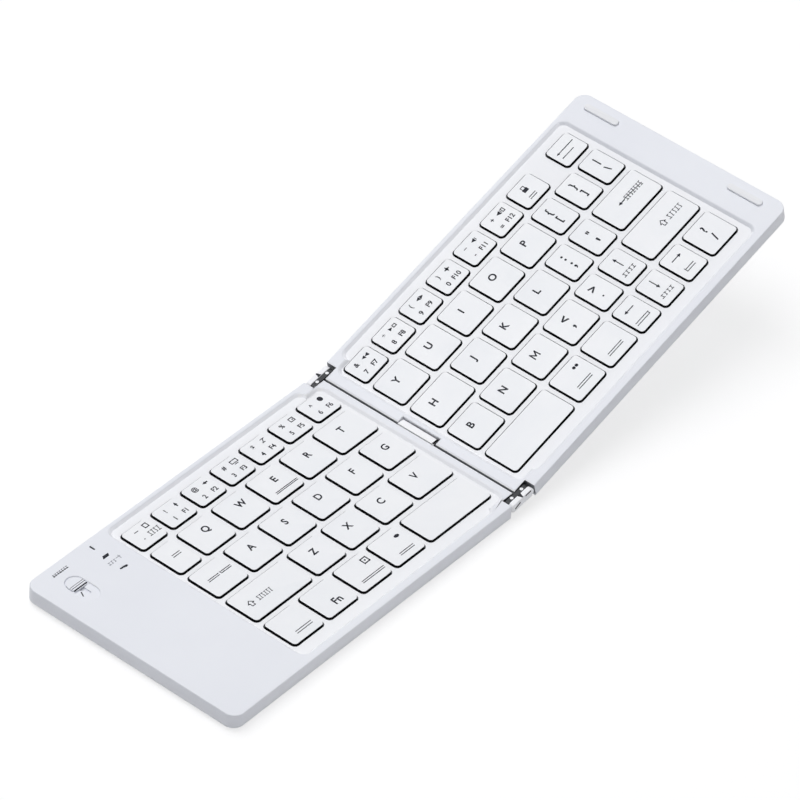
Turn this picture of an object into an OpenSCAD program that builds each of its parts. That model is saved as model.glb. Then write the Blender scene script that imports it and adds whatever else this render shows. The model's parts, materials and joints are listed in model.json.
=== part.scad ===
// Folding keyboard. Two thin halves are joined by a double-pivot link hinge.
// It stands on its left half, with the right half part folded towards it.
// Each half is drawn lying flat, with its top face at z = 0 and the middle of
// the hinge at x = 0, and is then placed in the standing pose.

/* [Body] */
// Blank end of the left half, beyond its keys, with the board and the battery inside
left_end_space = 33.9; // [31:0.1:45]
// Blank end of the right half, beyond its keys
right_end_space = 14.75; // [13.5:0.05:30]
// Thickness of each half, without its feet
body_thick = 5.2; // [5.2:0.1:7]
// Radius of the outer corners, seen from above
corner_r = 3.7; // [3:0.1:8]
// Radius of the lower edge, all round
edge_r = 0.8; // [0.4:0.1:0.9]
// Thickness of the side walls
wall = 1.2; // [1:0.1:1.6]
// Thickness of the top face beside the keys
roof_thick = 1; // [0.8:0.1:1.2]
// Thickness of the underside
floor_thick = 1; // [0.9:0.1:1.4]

/* [Key well] */
// Depth of the key well below the top face
well_depth = 0.9; // [0.7:0.05:1.1]
// Thickness of the deck between the keys
deck_thick = 0.8; // [0.6:0.1:1]
// Width of the rim in front of the well
front_rim = 2.4; // [1.8:0.1:3]
// Width of the rim behind the well
back_rim = 1.3; // [1:0.1:2]
// Radius of the well's corners
well_corner = 3; // [2:0.5:4]
// From the keys to the edge of the well, at the outer end of the left half
left_well_margin = 2.2; // [1.8:0.1:3]
// From the keys to the edge of the well, at the outer end of the right half
right_well_margin = 3.2; // [2:0.1:4]
// From the keys to the edge of the well, at the hinge
hinge_well_margin = 2.3; // [1.8:0.1:2.6]

/* [Keys] */
// Distance from one letter key to the next
letter_pitch = 14.75; // [14:0.05:15]
// Distance from one narrow key to the next
narrow_pitch = 11.15; // [10.5:0.05:11.5]
// Distance from the caps lock key to the next
caps_pitch = 15.1; // [14:0.1:16]
// Distance from the left shift key to the next
shift_pitch = 26.2; // [22:0.1:28]
// Width of the wide letter keys at the hinge, on the left half
wide_letter_w = 15.65; // [12:0.05:18]
// Distance from the wide H key to the next
wide_pitch = 18.4; // [17:0.1:19.5]
// Width of the right shift key
right_shift_w = 23.05; // [20:0.05:26]
// Width of the backspace key
backspace_w = 9.9; // [8:0.1:12]
// Distance from one row to the next
row_pitch = 13.85; // [13:0.05:15]
// Depth of the number keys
number_depth = 8.7; // [8.5:0.1:11]
// Space between the caps of neighbouring keys
key_spacing = 2.3; // [2:0.1:2.6]
// Gap all round a key in its opening
key_gap = 0.45; // [0.25:0.05:0.45]
// Height of the caps above the deck
key_raise = 0.65; // [0.4:0.05:0.7]
// How far a key goes down
key_travel = 1.4; // [1:0.1:1.5]
// Radius of a cap's corners
key_corner = 1.1; // [0.8:0.1:1.4]
// Thickness of a cap's top
cap_roof = 0.8; // [0.6:0.1:0.9]
// Thickness of a cap's skirt
cap_wall = 0.7; // [0.6:0.05:0.75]
// From the left hinge face to the keys
left_hinge_margin = 5; // [5:0.1:6]
// From the right hinge face to the keys
right_hinge_margin = 5.9; // [5.9:0.1:7]
// From the front edge to the keys
front_margin = 7.45; // [7:0.05:9]
// From the back edge to the keys
back_margin = 5.45; // [5.4:0.05:7]

/* [Hinge] */
// How far the right half is folded up from flat, in degrees
rest_fold = 17.5; // [0:0.5:45]
// From the middle of the hinge to each pin
pin_offset = 2.2; // [2:0.05:2.4]
// Gap between the halves when they are closed face to face
closed_gap = 1; // [0.9:0.05:1.2]
// Gap between the hinge faces when the halves lie flat
face_gap = 0.6; // [0.4:0.05:0.8]
// Radius of the hinge pins
pin_r = 0.7; // [0.5:0.05:0.8]
// Depth of each pin in its boss
pin_seat = 2; // [1.5:0.1:2.5]
// From the middle of the hinge to the end of a link
link_reach = 5; // [4.6:0.1:5.2]
// Height of the steel strap
strap_height = 2.9; // [2.4:0.1:3]
// Thickness of the steel strap
strap_thick = 1.45; // [1.2:0.05:1.8]
// Height of the plastic cover outside the strap
cover_height = 3.1; // [2.6:0.1:3.2]
// Thickness of the plastic cover
cover_thick = 1.6; // [1.4:0.05:2]
// Length of the flush corner that holds each pin
housing_length = 9; // [8:0.5:14]
// Running clearance round a pin, on the radius
pin_clear = 0.05; // [0.03:0.01:0.08]
// Clearance beside and beyond a moving link
link_clear = 0.3; // [0.25:0.05:0.4]

/* [Cable guard] */
// Width of the guard over the flat cable
guard_width = 13.4; // [11:0.1:16]
// How far the guard reaches past the middle of the hinge
guard_reach = 2.3; // [1.8:0.1:2.4]
// Height of the guard
guard_height = 2.1; // [1.8:0.1:2.3]
// How far its tongue goes into the left half
guard_tongue = 2.6; // [2:0.1:3]
// Place of the guard behind the middle of the body
guard_y = 0.9; // [0:0.1:3]
// Width of the flat cable
cable_width = 10; // [8:0.5:10.5]

/* [Switch and lights] */
// Length of the pocket that the switch knob slides in
pocket_length = 11; // [10:0.1:13]
// Width of the switch pocket
pocket_width = 6.2; // [5.5:0.1:7]
// Depth of the switch pocket
pocket_depth = 0.5; // [0.4:0.05:0.6]
// Length of the switch knob
knob_length = 5; // [4.5:0.1:5.5]
// How far the switch knob slides
knob_travel = 4.5; // [3:0.1:4.8]
// From the outer end to the middle of the switch
switch_inset = 10.4; // [9:0.1:12]
// From the back edge to the back of the switch pocket
switch_back = 6.7; // [6.5:0.1:9]
// Radius of the indicator lights
light_r = 0.6; // [0.4:0.05:0.8]
// From the outer end to the indicator lights
light_inset = 24.6; // [23:0.1:26]

/* [Inside] */
// Thickness of the steel plate under the keys
plate_thick = 0.4; // [0.3:0.05:0.5]
// Thickness of the contact membrane
membrane_thick = 0.25; // [0.15:0.05:0.3]
// Thickness of the main board
board_thick = 0.8; // [0.6:0.1:1]
// From the main board to the wall of the key well
board_gap = 1.3; // [1:0.1:3]
// Depth of the main board
board_depth = 28; // [27:0.5:29]
// From the battery to the wall of the key well
battery_gap = 3.3; // [1:0.1:8]
// Depth of the battery
battery_depth = 29; // [20:0.5:30]
// Thickness of the battery
battery_thick = 2.8; // [2:0.1:2.9]
// Radius of the closing magnets
magnet_r = 2.2; // [1.5:0.1:2.2]
// Thickness of the closing magnets
magnet_thick = 1.6; // [1:0.1:2]
// Width of the charging port's shell
port_width = 7.5; // [7:0.1:8]
// Height of the charging port's shell
port_height = 2.5; // [2.2:0.1:2.6]
// Radius of the screws' threads
screw_r = 0.7; // [0.5:0.05:0.8]

/* [Feet and pads] */
// Height of the feet below the underside
foot_height = 0.8; // [0.5:0.1:1.5]
// Width of a foot
foot_width = 6; // [4:0.5:6]
// Length of a foot
foot_length = 60; // [40:1:62]
// Height of the closing pads above the top face
pad_height = 0.6; // [0.4:0.05:0.7]
// Length of a closing pad
pad_length = 12.5; // [8:0.5:14]
// Width of a closing pad
pad_width = 2.2; // [1.8:0.1:3]

/* [Hidden] */
$fn = 48;
snug = 0.02;         // fit of a piece that is pressed or glued into its seat
slip = 0.15;         // gap beside a piece that drops into its place
eps = 0.01;          // overshoot of a cut past the face that it opens
recess = 0.4;        // depth of the seats for feet and pads
body_depth = front_margin + 4 * row_pitch + number_depth + back_margin;
front_y = -body_depth / 2;
back_y = body_depth / 2;
face_x = face_gap / 2;
// each block of keys is as wide as its shift row, and the halves are equally long
left_field_w = shift_pitch + 3 * letter_pitch + wide_letter_w;
right_field_w = 4 * letter_pitch + 2 * narrow_pitch + right_shift_w;
half_length = max(left_hinge_margin + left_field_w + left_end_space,
    right_hinge_margin + right_field_w + right_end_space);
outer_x = face_x + half_length;

// Heights, measured from the top face of a half
pin_depth = pin_offset - closed_gap / 2;
deck_z = -well_depth;
deck_under = deck_z - deck_thick;
cap_top = deck_z + key_raise;
floor_top = floor_thick - body_thick;
plate_top = floor_top + plate_thick;
membrane_top = plate_top + membrane_thick;
press_clear = 0.25;
cap_bottom = membrane_top + key_travel + press_clear;
cap_inside = cap_top - cap_roof;

// The hinge edge is rounded just enough to pass the other half as they fold
swing = pin_offset - 0.05;
face_arm = pin_offset - face_x;
edge_sum = face_arm + pin_depth - swing;
hinge_edge_r = edge_sum - sqrt(2 * (swing - face_arm) * (swing - pin_depth));

// Links lie in notches at the front and back ends of the hinge
cover_skin = 0.5;
cover_set = 0.1;     // how far the link covers lie inside the front and back faces
notch_depth = cover_set + cover_thick + strap_thick + link_clear;
notch_y = back_y - notch_depth;
notch_reach = link_reach + link_clear;
housing_y = notch_y - 0.4;
boss_depth = pin_seat + 0.3;

// Key rows, as lists of [left, right] for each cap, in the flat keyboard
left_x = -(face_x + left_hinge_margin + left_field_w);
left_end = left_x + left_field_w;
right_x = face_x + right_hinge_margin;
right_end = right_x + right_field_w;
number_pitch = (left_field_w + key_spacing) / 7;
function run(x, pitch, n) = [for (i = [0:n - 1]) [x + i * pitch, x + (i + 1) * pitch - key_spacing]];
left_rows = [
    run(left_x, number_pitch, 7),
    concat(run(left_x, narrow_pitch, 1), run(left_x + narrow_pitch, letter_pitch, 4),
        [[left_x + narrow_pitch + 4 * letter_pitch, left_end]]),
    concat(run(left_x, caps_pitch, 1), run(left_x + caps_pitch, letter_pitch, 4),
        [[left_x + caps_pitch + 4 * letter_pitch, left_end]]),
    concat(run(left_x, shift_pitch, 1), run(left_x + shift_pitch, letter_pitch, 3),
        [[left_x + shift_pitch + 3 * letter_pitch, left_end]]),
    concat(run(left_x, letter_pitch, 4), [[left_x + 4 * letter_pitch, left_end]])
];
bracket_x = right_x + 5 * letter_pitch;
colon_x = right_x + wide_pitch + 3 * letter_pitch;
dot_x = right_x + 4 * letter_pitch;
right_rows = [
    concat(run(right_x, number_pitch, 7), [[right_end - backspace_w, right_end]]),
    concat(run(right_x, letter_pitch, 5), run(bracket_x, narrow_pitch, 2),
        [[bracket_x + 2 * narrow_pitch, right_end]]),
    concat(run(right_x, wide_pitch, 1), run(right_x + wide_pitch, letter_pitch, 3),
        run(colon_x, narrow_pitch, 2), [[colon_x + 2 * narrow_pitch, right_end]]),
    concat(run(right_x, letter_pitch, 4), run(dot_x, narrow_pitch, 2),
        [[dot_x + 2 * narrow_pitch, right_end]]),
    concat(run(right_x, 2 * letter_pitch, 1), run(right_x + 2 * letter_pitch, letter_pitch, 2),
        run(dot_x, narrow_pitch, 3), [[dot_x + 3 * narrow_pitch, right_end]])
];
function row_y(row) = front_y + front_margin + (4 - row) * row_pitch;
function row_depth(row) = row == 0 ? number_depth : row_pitch - key_spacing;
number_back = row_y(0) + number_depth;

// Middle of each key, for what lies under it
function middles(rows) = [for (r = [0:4]) for (k = rows[r])
    [(k[0] + k[1]) / 2, row_y(r) + row_depth(r) / 2]];

// Screws along the rims and at the outer ends
screw_grip = 2;
screw_head = 0.6;
screw_head_r = 2 * screw_r;
boss_r = screw_r + 0.9;
rim_height = 0.5;
rim_wall = 0.7;
inside = wall + slip + rim_wall + slip;
rim_front_y = front_y + inside + boss_r;
rim_back_y = back_y - wall - slip - boss_r;
end_screw_x = outer_x - inside - boss_r;
hinge_screw_inset = 8;
left_screw_inset = 45;
right_screw_inset = 55;
corner_screw_inset = 3;
left_rim_screws = [for (x = [left_end - hinge_screw_inset, left_end - left_screw_inset])
    for (y = [rim_front_y, rim_back_y]) [x, y]];
right_rim_screws = [for (x = [right_x + hinge_screw_inset, right_x + right_screw_inset])
    for (y = [rim_front_y, rim_back_y]) [x, y]];
right_end_screws = [for (y = [rim_front_y + corner_screw_inset, rim_back_y - corner_screw_inset])
    [end_screw_x, y]];

// Well, feet and pads
left_well_x = left_x - left_well_margin;
left_well_end = left_end + hinge_well_margin;
right_well_x = right_x - hinge_well_margin;
right_well_end = right_end + right_well_margin;
foot_hinge_inset = 3.2;
foot_end_inset = 6;
feet_x = [foot_hinge_inset + foot_width / 2, outer_x - foot_end_inset - foot_width / 2];
pad_inset = 4.1;
front_pad_inset = 6.7;
back_pad_inset = 4.4;
pad_x = outer_x - pad_inset;
pads_y = [front_y + front_pad_inset + pad_length / 2, back_y - back_pad_inset - pad_length / 2];

// Under the outer end of the left half
plate_edge = 0.9;
membrane_edge = 0.6;
board_x = -(outer_x - inside);
room_end = left_well_x - wall;
board_width = room_end - board_gap - board_x;
battery_width = room_end - battery_gap - board_x;
board_y = back_y - inside - board_depth;
board_top = floor_top + board_thick;
battery_y = rim_front_y + magnet_r + 2 * slip;
between_y = (battery_y + battery_depth + board_y) / 2;
magnets_y = [rim_front_y, between_y];
left_end_screws = [for (y = magnets_y) [-end_screw_x, y]];
magnet_x = outer_x - inside - 2 * boss_r - magnet_r - slip;
switch_x = -(outer_x - switch_inset);
pocket_y1 = back_y - switch_back;
pocket_y0 = pocket_y1 - pocket_length;
knob_y = pocket_y1 - link_clear - knob_length / 2;
stem = 1.6;
switch_y0 = knob_y - knob_travel - 2.3;
switch_height = 1.5;
light_x = -(outer_x - light_inset);
light_places = [3.1, 7.9, 14.7];
lights_y = [for (d = light_places) back_y - d];
led_height = 0.6;
tail_y = 12;
tail_width = 12;
port_x = switch_x;
port_z = floor_top + rim_height + 0.1;
port_corner = 0.8;
port_length = 5;
port_y0 = back_y - 0.3 - port_length;

// Cable and its guard
cable_room = membrane_top + 0.3 - floor_top;
guard_round = 0.4;
guard_notch_x = guard_reach + 0.6;
guard_room = guard_width / 2 + link_clear;
module guard_notch() translate([-1, guard_y - guard_room, -body_thick - 1])
    cube([guard_notch_x + 1, 2 * guard_room, body_thick + 2]);
module guard_wall() translate([0, guard_y - guard_room - wall, floor_top])
    cube([guard_notch_x + wall, 2 * (guard_room + wall), body_thick]);

// Domes and scissor links
dome_r = 1.9;
dome_tip_r = 1.1;
dome_skin = 0.4;
dome_height = cap_inside - membrane_top - 0.05;
link_bar = 0.45;
link_frame = 6.6;
outer_frame_w = 6.5;
inner_frame_w = outer_frame_w - 2 * link_bar - 2 * slip;
scissor_low = membrane_top + 0.12 + link_bar / 2;
scissor_high = cap_inside - 0.12 - link_bar / 2;
scissor_angle = asin((scissor_high - scissor_low) / (link_frame - link_bar));

// Standing pose
top_z = foot_height + body_thick;
function turn(p, a) = [p[0] * cos(a) - p[1] * sin(a), p[0] * sin(a) + p[1] * cos(a)];
left_pin = [-pin_offset, -pin_depth];
right_pin = [pin_offset, -pin_depth];
function in_right(p) = left_pin + turn([2 * pin_offset, 0], rest_fold / 2) + turn(p - right_pin, rest_fold);
far_corner = in_right([outer_x - edge_r, -body_thick + edge_r])[0] + edge_r;
shift_x = (outer_x - max(far_corner, in_right([outer_x, 0])[0])) / 2;

module on_left() translate([shift_x, 0, top_z]) children();
module on_link() on_left()
    translate([left_pin[0], 0, left_pin[1]]) rotate([0, -rest_fold / 2, 0])
    translate([-left_pin[0], 0, -left_pin[1]]) children();
module on_right() on_link()
    translate([right_pin[0], 0, right_pin[1]]) rotate([0, -rest_fold / 2, 0])
    translate([-right_pin[0], 0, -right_pin[1]]) children();
// Draws a piece of the right half as its mirror image for the left half
module sided(side) mirror([side < 0 ? 1 : 0, 0, 0]) children();

// Flat shapes and plates
module box2(x0, x1, y0, y1) translate([x0, y0]) square([x1 - x0, y1 - y0]);
module round_box2(x0, x1, y0, y1, r) {
    box2(x0 + r, x1 - r, y0, y1);
    box2(x0, x1, y0 + r, y1 - r);
    for (x = [x0 + r, x1 - r]) for (y = [y0 + r, y1 - r]) translate([x, y]) circle(r);
}
module slab(z0, z1) translate([0, 0, z0]) linear_extrude(z1 - z0) children();
module stadium2(length, height) {
    square([length - height, height], center = true);
    for (s = [-1, 1]) translate([s * (length - height) / 2, 0]) circle(height / 2);
}
// Extrudes a shape drawn in x and z from y0 to y1
module across(y0, y1) translate([0, y1, 0]) rotate([90, 0, 0]) linear_extrude(y1 - y0) children();
// Extrudes a shape drawn in y and z from x0 to x1
module along(x0, x1) translate([x0, 0, 0]) rotate([90, 0, 90]) linear_extrude(x1 - x0) children();

// Outline of one half, pulled in by inset, with its notches for the links
module half_plan(inset = 0) {
    r = max(corner_r - inset, 0.5);
    cx = outer_x - inset - r;
    cy = back_y - inset - r;
    difference() {
        union() {
            box2(face_x + inset, cx, -cy - r, cy + r);
            box2(face_x + inset, cx + r, -cy, cy);
            for (y = [-cy, cy]) translate([cx, y]) circle(r);
        }
        for (s = [-1, 1]) scale([1, s])
            box2(0, notch_reach + inset, notch_y - inset, back_y + 1);
    }
}

// Rounds the lower edge of a half: everything inside this shape is kept
module edge_profile(reach, z1) {
    translate([0, -body_thick + edge_r]) square([reach, z1 + body_thick - edge_r]);
    translate([0, -body_thick]) square([reach - edge_r, z1 + body_thick]);
    translate([reach - edge_r, -body_thick + edge_r]) circle(edge_r);
}
module rounded_slab(z1) {
    cx = outer_x - corner_r;
    cy = back_y - corner_r;
    across(-cy, cy) edge_profile(outer_x, z1);
    for (s = [0, 1]) mirror([0, s, 0]) along(0, cx) edge_profile(back_y, z1);
    for (y = [-cy, cy]) translate([cx, y, 0]) rotate_extrude() edge_profile(corner_r, z1);
}

// A pocket whose walls slope out at 45 degrees to its outline on the top face
module sloped_pocket(x0, x1, y0, y1, r, depth) {
    b = depth;
    t = eps;
    along(x0 + r, x1 - r) polygon([[y0 + b, -b], [y1 - b, -b], [y1 + t, t], [y0 - t, t]]);
    across(y0 + r, y1 - r) polygon([[x0 + b, -b], [x1 - b, -b], [x1 + t, t], [x0 - t, t]]);
    for (x = [x0 + r, x1 - r]) for (y = [y0 + r, y1 - r])
        translate([x, y, -b]) cylinder(h = b + t, r1 = r - b, r2 = r + t);
}
module key_well(x0, x1, wide_x0, wide_x1) {
    sloped_pocket(x0, x1, -housing_y, housing_y, well_corner, well_depth);
    sloped_pocket(wide_x0, wide_x1, front_y + front_rim, back_y - back_rim, well_corner, well_depth);
}
module key_openings(rows)
    for (r = [0:4]) for (k = rows[r])
        round_box2(k[0] - key_gap, k[1] + key_gap, row_y(r) - key_gap,
            row_y(r) + row_depth(r) + key_gap, key_corner + key_gap);

// Upper part of either half, before its own openings are cut
module top_blank(side, well_edge) {
    deep_from = well_edge + wall;
    sided(side) difference() {
        intersection() {
            rounded_slab(0);
            slab(floor_top, 0) half_plan();
        }
        // room inside, which is higher beside the well than under its deck
        difference() {
            slab(floor_top - eps, deck_under) half_plan(wall);
            for (s = [0, 1]) mirror([0, s, 0]) pin_boss();
            if (side > 0) guard_wall();
        }
        intersection() {
            slab(floor_top, -roof_thick) half_plan(wall);
            translate([deep_from, front_y, floor_top]) cube([half_length, body_depth, body_thick]);
        }
        hinge_edge_cut();
        for (s = [0, 1]) mirror([0, s, 0]) pin_bore();
    }
}
module pin_boss() translate([face_x + wall / 2, notch_y - boss_depth, floor_top])
    cube([pin_offset + pin_r, boss_depth, -floor_top - well_depth]);
module pin_bore() translate([pin_offset, notch_y + eps, -pin_depth]) rotate([90, 0, 0])
    cylinder(h = pin_seat + eps, r = pin_r + snug);
module hinge_edge_cut() across(front_y - 1, back_y + 1) difference() {
    translate([0, -hinge_edge_r]) square([face_x + hinge_edge_r, hinge_edge_r + 1]);
    translate([face_x + hinge_edge_r, -hinge_edge_r]) circle(hinge_edge_r);
}
module screw_bosses(places, z1) for (p = places)
    translate([p[0], p[1], floor_top]) cylinder(h = z1 - floor_top, r = boss_r);
module screw_pilots(places) for (p = places)
    translate([p[0], p[1], floor_top - eps]) cylinder(h = screw_grip + slip, r = screw_r + snug);
// Way for the flat cable through a hinge face
module cable_slot(x0, x1) translate([x0, guard_y - cable_width / 2 - slip, floor_top - eps])
    cube([x1 - x0, cable_width + 2 * slip, cable_room + eps]);

module left_top_shell() color("whitesmoke") on_left() difference() {
    union() {
        top_blank(-1, -left_well_x);
        screw_bosses(left_rim_screws, deck_z - eps);
        screw_bosses(left_end_screws, -roof_thick + eps);
    }
    key_well(left_well_x, left_well_end, left_well_x, -housing_length);
    slab(deck_under - 1, deck_z + eps) key_openings(left_rows);
    screw_pilots(concat(left_rim_screws, left_end_screws));
    // switch pocket, and the slot that the knob's stem slides in
    slab(-pocket_depth, 1) pocket_shape(0);
    slab(-roof_thick - eps, 0) box2(switch_x - stem / 2 - slip, switch_x + stem / 2 + slip,
        knob_y - knob_travel - stem / 2 - slip, knob_y + stem / 2 + slip);
    for (y = lights_y) translate([light_x, y, -roof_thick - eps]) cylinder(h = 2, r = light_r + snug);
    // mouth of the charging port in the back wall
    translate([0, back_y - wall - 1, 0]) rotate([-90, 0, 0]) mirror([0, 1, 0])
        linear_extrude(wall + 2) round_box2(port_x - port_width / 2 - slip, port_x + port_width / 2 + slip,
            port_z - slip, port_z + port_height + slip, port_corner);
    cable_slot(-face_x - wall - 1, 0);
    // slot for the tongue of the cable guard
    translate([-face_x - wall - 1, guard_y - guard_width / 2 - slip, -guard_height - slip])
        cube([wall + 2, guard_width + 2 * slip, guard_height + slip + deck_under]);
}
module right_top_shell() color("whitesmoke") on_right() difference() {
    union() {
        top_blank(1, right_well_end);
        screw_bosses(right_rim_screws, deck_z - eps);
        screw_bosses(right_end_screws, -roof_thick + eps);
    }
    key_well(right_well_x, right_well_end, housing_length, right_well_end);
    slab(deck_under - 1, deck_z + eps) key_openings(right_rows);
    screw_pilots(concat(right_rim_screws, right_end_screws));
    for (y = pads_y) slab(-recess, 1) translate([pad_x, y]) rotate(90)
        stadium2(pad_length + 2 * snug, pad_width + 2 * snug);
    guard_notch();
    cable_slot(face_x, guard_notch_x + wall + 1);
}

// Lower parts
module bottom_shell(side, places) sided(side) difference() {
    union() {
        intersection() {
            rounded_slab(floor_top);
            slab(-body_thick, floor_top) half_plan();
        }
        // rim that locates the upper shell, away from the hinge
        difference() {
            slab(floor_top - eps, floor_top + rim_height) half_plan(wall + slip);
            slab(floor_top - 1, floor_top + 1) half_plan(wall + slip + rim_wall);
            for (p = places) translate([abs(p[0]), p[1], floor_top]) cylinder(h = 1, r = boss_r + slip);
            translate([0, front_y, floor_top]) cube([housing_length, body_depth, 1]);
        }
    }
    for (p = places) translate([abs(p[0]), p[1], -body_thick - 1]) {
        cylinder(h = body_thick, r = screw_r + slip);
        cylinder(h = 1 + screw_head, r = screw_head_r + slip);
    }
    for (x = feet_x) slab(-body_thick - 1, -body_thick + recess) translate([x, 0])
        rotate(90) stadium2(foot_length + 2 * snug, foot_width + 2 * snug);
}
module left_bottom_shell() color("gainsboro") on_left()
    bottom_shell(-1, concat(left_rim_screws, left_end_screws));
module right_bottom_shell() color("gainsboro") on_right() difference() {
    bottom_shell(1, concat(right_rim_screws, right_end_screws));
    guard_notch();
}
module screws(places) for (p = places) translate([p[0], p[1], slip - body_thick]) {
    cylinder(h = screw_head - slip, r = screw_head_r);
    cylinder(h = floor_thick + screw_grip - slip, r = screw_r);
}
module left_screws() color("silver") on_left() screws(concat(left_rim_screws, left_end_screws));
module right_screws() color("silver") on_right() screws(concat(right_rim_screws, right_end_screws));
module feet() for (x = feet_x) slab(-body_thick - foot_height, -body_thick + recess)
    translate([x, 0]) rotate(90) stadium2(foot_length, foot_width);
module left_feet() color("dimgray") on_left() sided(-1) feet();
module right_feet() color("dimgray") on_right() feet();
module closing_pads() color("lightgray") on_right() for (y = pads_y)
    slab(-recess, pad_height) translate([pad_x, y]) rotate(90) stadium2(pad_length, pad_width);

// Steel plate and membrane under a block of keys
module under_keys(x0, x1, edge, z0, z1) slab(z0, z1)
    box2(x0 - edge, x1 + edge, row_y(4) - edge, number_back + edge / 2);
module left_key_plate() color("silver") on_left()
    under_keys(left_x, left_end, plate_edge, floor_top, plate_top);
module right_key_plate() color("silver") on_right()
    under_keys(right_x, right_end, plate_edge, floor_top, plate_top);
module left_membrane() color("darkslategray") on_left() {
    under_keys(left_x, left_end, membrane_edge, plate_top, membrane_top);
    // tail to the main board
    slab(plate_top, membrane_top)
        box2(board_x + board_width + snug, left_x - membrane_edge + eps, tail_y, tail_y + tail_width);
}
module right_membrane() color("darkslategray") on_right()
    under_keys(right_x, right_end, membrane_edge, plate_top, membrane_top);

// Rubber dome under each cap
module domes(places) for (p = places) translate([p[0], p[1], membrane_top]) rotate_extrude()
    polygon([[0, dome_height - dome_skin - 0.3], [dome_tip_r - dome_skin, dome_height - dome_skin - 0.3],
        [dome_r - dome_skin, 0], [dome_r, 0], [dome_tip_r, dome_height - 0.6],
        [dome_tip_r, dome_height], [0, dome_height]]);
module left_domes() color("dimgray") on_left() domes(middles(left_rows));
module right_domes() color("dimgray") on_right() domes(middles(right_rows));

// Scissor link under each cap: two crossed frames, one inside the other
module scissor_frame(w) difference() {
    cube([w, link_frame, link_bar], center = true);
    cube([w - 2 * link_bar, link_frame - 2 * link_bar, 1], center = true);
}
module scissors(places) for (p = places) translate([p[0], p[1], (scissor_low + scissor_high) / 2]) {
    rotate([scissor_angle, 0, 0]) scissor_frame(outer_frame_w);
    rotate([-scissor_angle, 0, 0]) scissor_frame(inner_frame_w);
}
module left_scissors() color("white") on_left() scissors(middles(left_rows));
module right_scissors() color("white") on_right() scissors(middles(right_rows));

// Keycaps: hollow shells, open below
module keycap(k, row) {
    y0 = row_y(row);
    y1 = y0 + row_depth(row);
    difference() {
        slab(cap_bottom, cap_top) round_box2(k[0], k[1], y0, y1, key_corner);
        slab(cap_bottom - 1, cap_inside) round_box2(k[0] + cap_wall, k[1] - cap_wall,
            y0 + cap_wall, y1 - cap_wall, key_corner / 2);
    }
}
module left_caps(row, first, last) color("white") on_left()
    for (i = [first:last]) keycap(left_rows[row][i], row);
module right_caps(row, first, last) color("white") on_right()
    for (i = [first:last]) keycap(right_rows[row][i], row);
module esc_key() left_caps(0, 0, 0);
module number_keys_left() left_caps(0, 1, 6);
module tab_key() left_caps(1, 0, 0);
module q_row_keys_left() left_caps(1, 1, 5);
module caps_lock_key() left_caps(2, 0, 0);
module a_row_keys_left() left_caps(2, 1, 5);
module left_shift_key() left_caps(3, 0, 0);
module z_row_keys_left() left_caps(3, 1, 4);
module ctrl_key() left_caps(4, 0, 0);
module fn_key() left_caps(4, 1, 1);
module command_key() left_caps(4, 2, 2);
module left_alt_key() left_caps(4, 3, 3);
module left_space_key() left_caps(4, 4, 4);
module number_keys_right() right_caps(0, 0, 5);
module lock_key() right_caps(0, 6, 6);
module backspace_key() right_caps(0, 7, 7);
module y_row_keys_right() right_caps(1, 0, 4);
module bracket_keys() right_caps(1, 5, 7);
module h_row_keys_right() right_caps(2, 0, 5);
module enter_key() right_caps(2, 6, 6);
module b_row_keys_right() right_caps(3, 0, 4);
module up_key() right_caps(3, 5, 5);
module right_shift_key() right_caps(3, 6, 6);
module right_space_key() right_caps(4, 0, 0);
module right_alt_and_menu_keys() right_caps(4, 1, 2);
module left_arrow_key() right_caps(4, 3, 3);
module down_key() right_caps(4, 4, 4);
module right_arrow_key() right_caps(4, 5, 5);
module slash_key() right_caps(4, 6, 6);

// Parts under the outer end of the left half
module chip(x, y, w, d, h) translate([board_x + x, board_y + y, board_top]) cube([w, d, h]);
module main_board() color("seagreen") on_left() {
    difference() {
        intersection() {
            translate([board_x, board_y, floor_top]) cube([board_width, board_depth, board_thick]);
            sided(-1) slab(floor_top, board_top) half_plan(inside);
        }
        translate([port_x - port_width / 2 - snug, port_y0 - snug, floor_top - 1])
            cube([port_width + 2 * snug, board_depth, 2]);
    }
    chip(5, 3, 6, 6, 0.9);
    chip(14, 4, 3.2, 2.5, 0.7);
    chip(19, 3, 2, 1.2, 0.5);
    chip(14, 9, 1.6, 0.8, 0.5);
    for (y = lights_y) translate([light_x - 0.8, y - 0.4, board_top]) cube([1.6, 0.8, led_height]);
}
module power_switch() color("dimgray") on_left() difference() {
    translate([switch_x - 2, switch_y0, board_top]) cube([4, knob_travel + 4.6, switch_height]);
    translate([switch_x - stem / 2 - slip, knob_y - knob_travel - stem / 2 - slip, board_top + 0.3])
        cube([stem + 2 * slip, knob_travel + stem + 2 * slip, switch_height]);
}
module switch_knob() color("gainsboro") on_left() {
    intersection() {
        slab(-pocket_depth + slip, -0.05) translate([switch_x, knob_y])
            square([pocket_width, knob_length], center = true);
        // its ends are as round as those of the pocket
        for_all_travel() slab(-pocket_depth + slip, -0.05) pocket_shape(link_clear);
    }
    translate([switch_x - stem / 2, knob_y - stem / 2, board_top + 0.6])
        cube([stem, stem, -pocket_depth + slip + eps - board_top - 0.6]);
}
module pocket_shape(inset) translate([switch_x, (pocket_y0 + pocket_y1) / 2]) rotate(90)
    stadium2(pocket_length - 2 * inset, pocket_width - 2 * inset);
module for_all_travel() intersection() {
    children();
    translate([0, knob_travel, 0]) children();
}
module indicator_lights() color("lightblue") on_left() for (y = lights_y)
    translate([light_x, y, board_top + led_height + snug])
        cylinder(h = -0.05 - board_top - led_height - snug, r = light_r);
module battery() color("slategray") on_left()
    translate([board_x, battery_y, floor_top]) cube([battery_width, battery_depth, battery_thick]);
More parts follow.
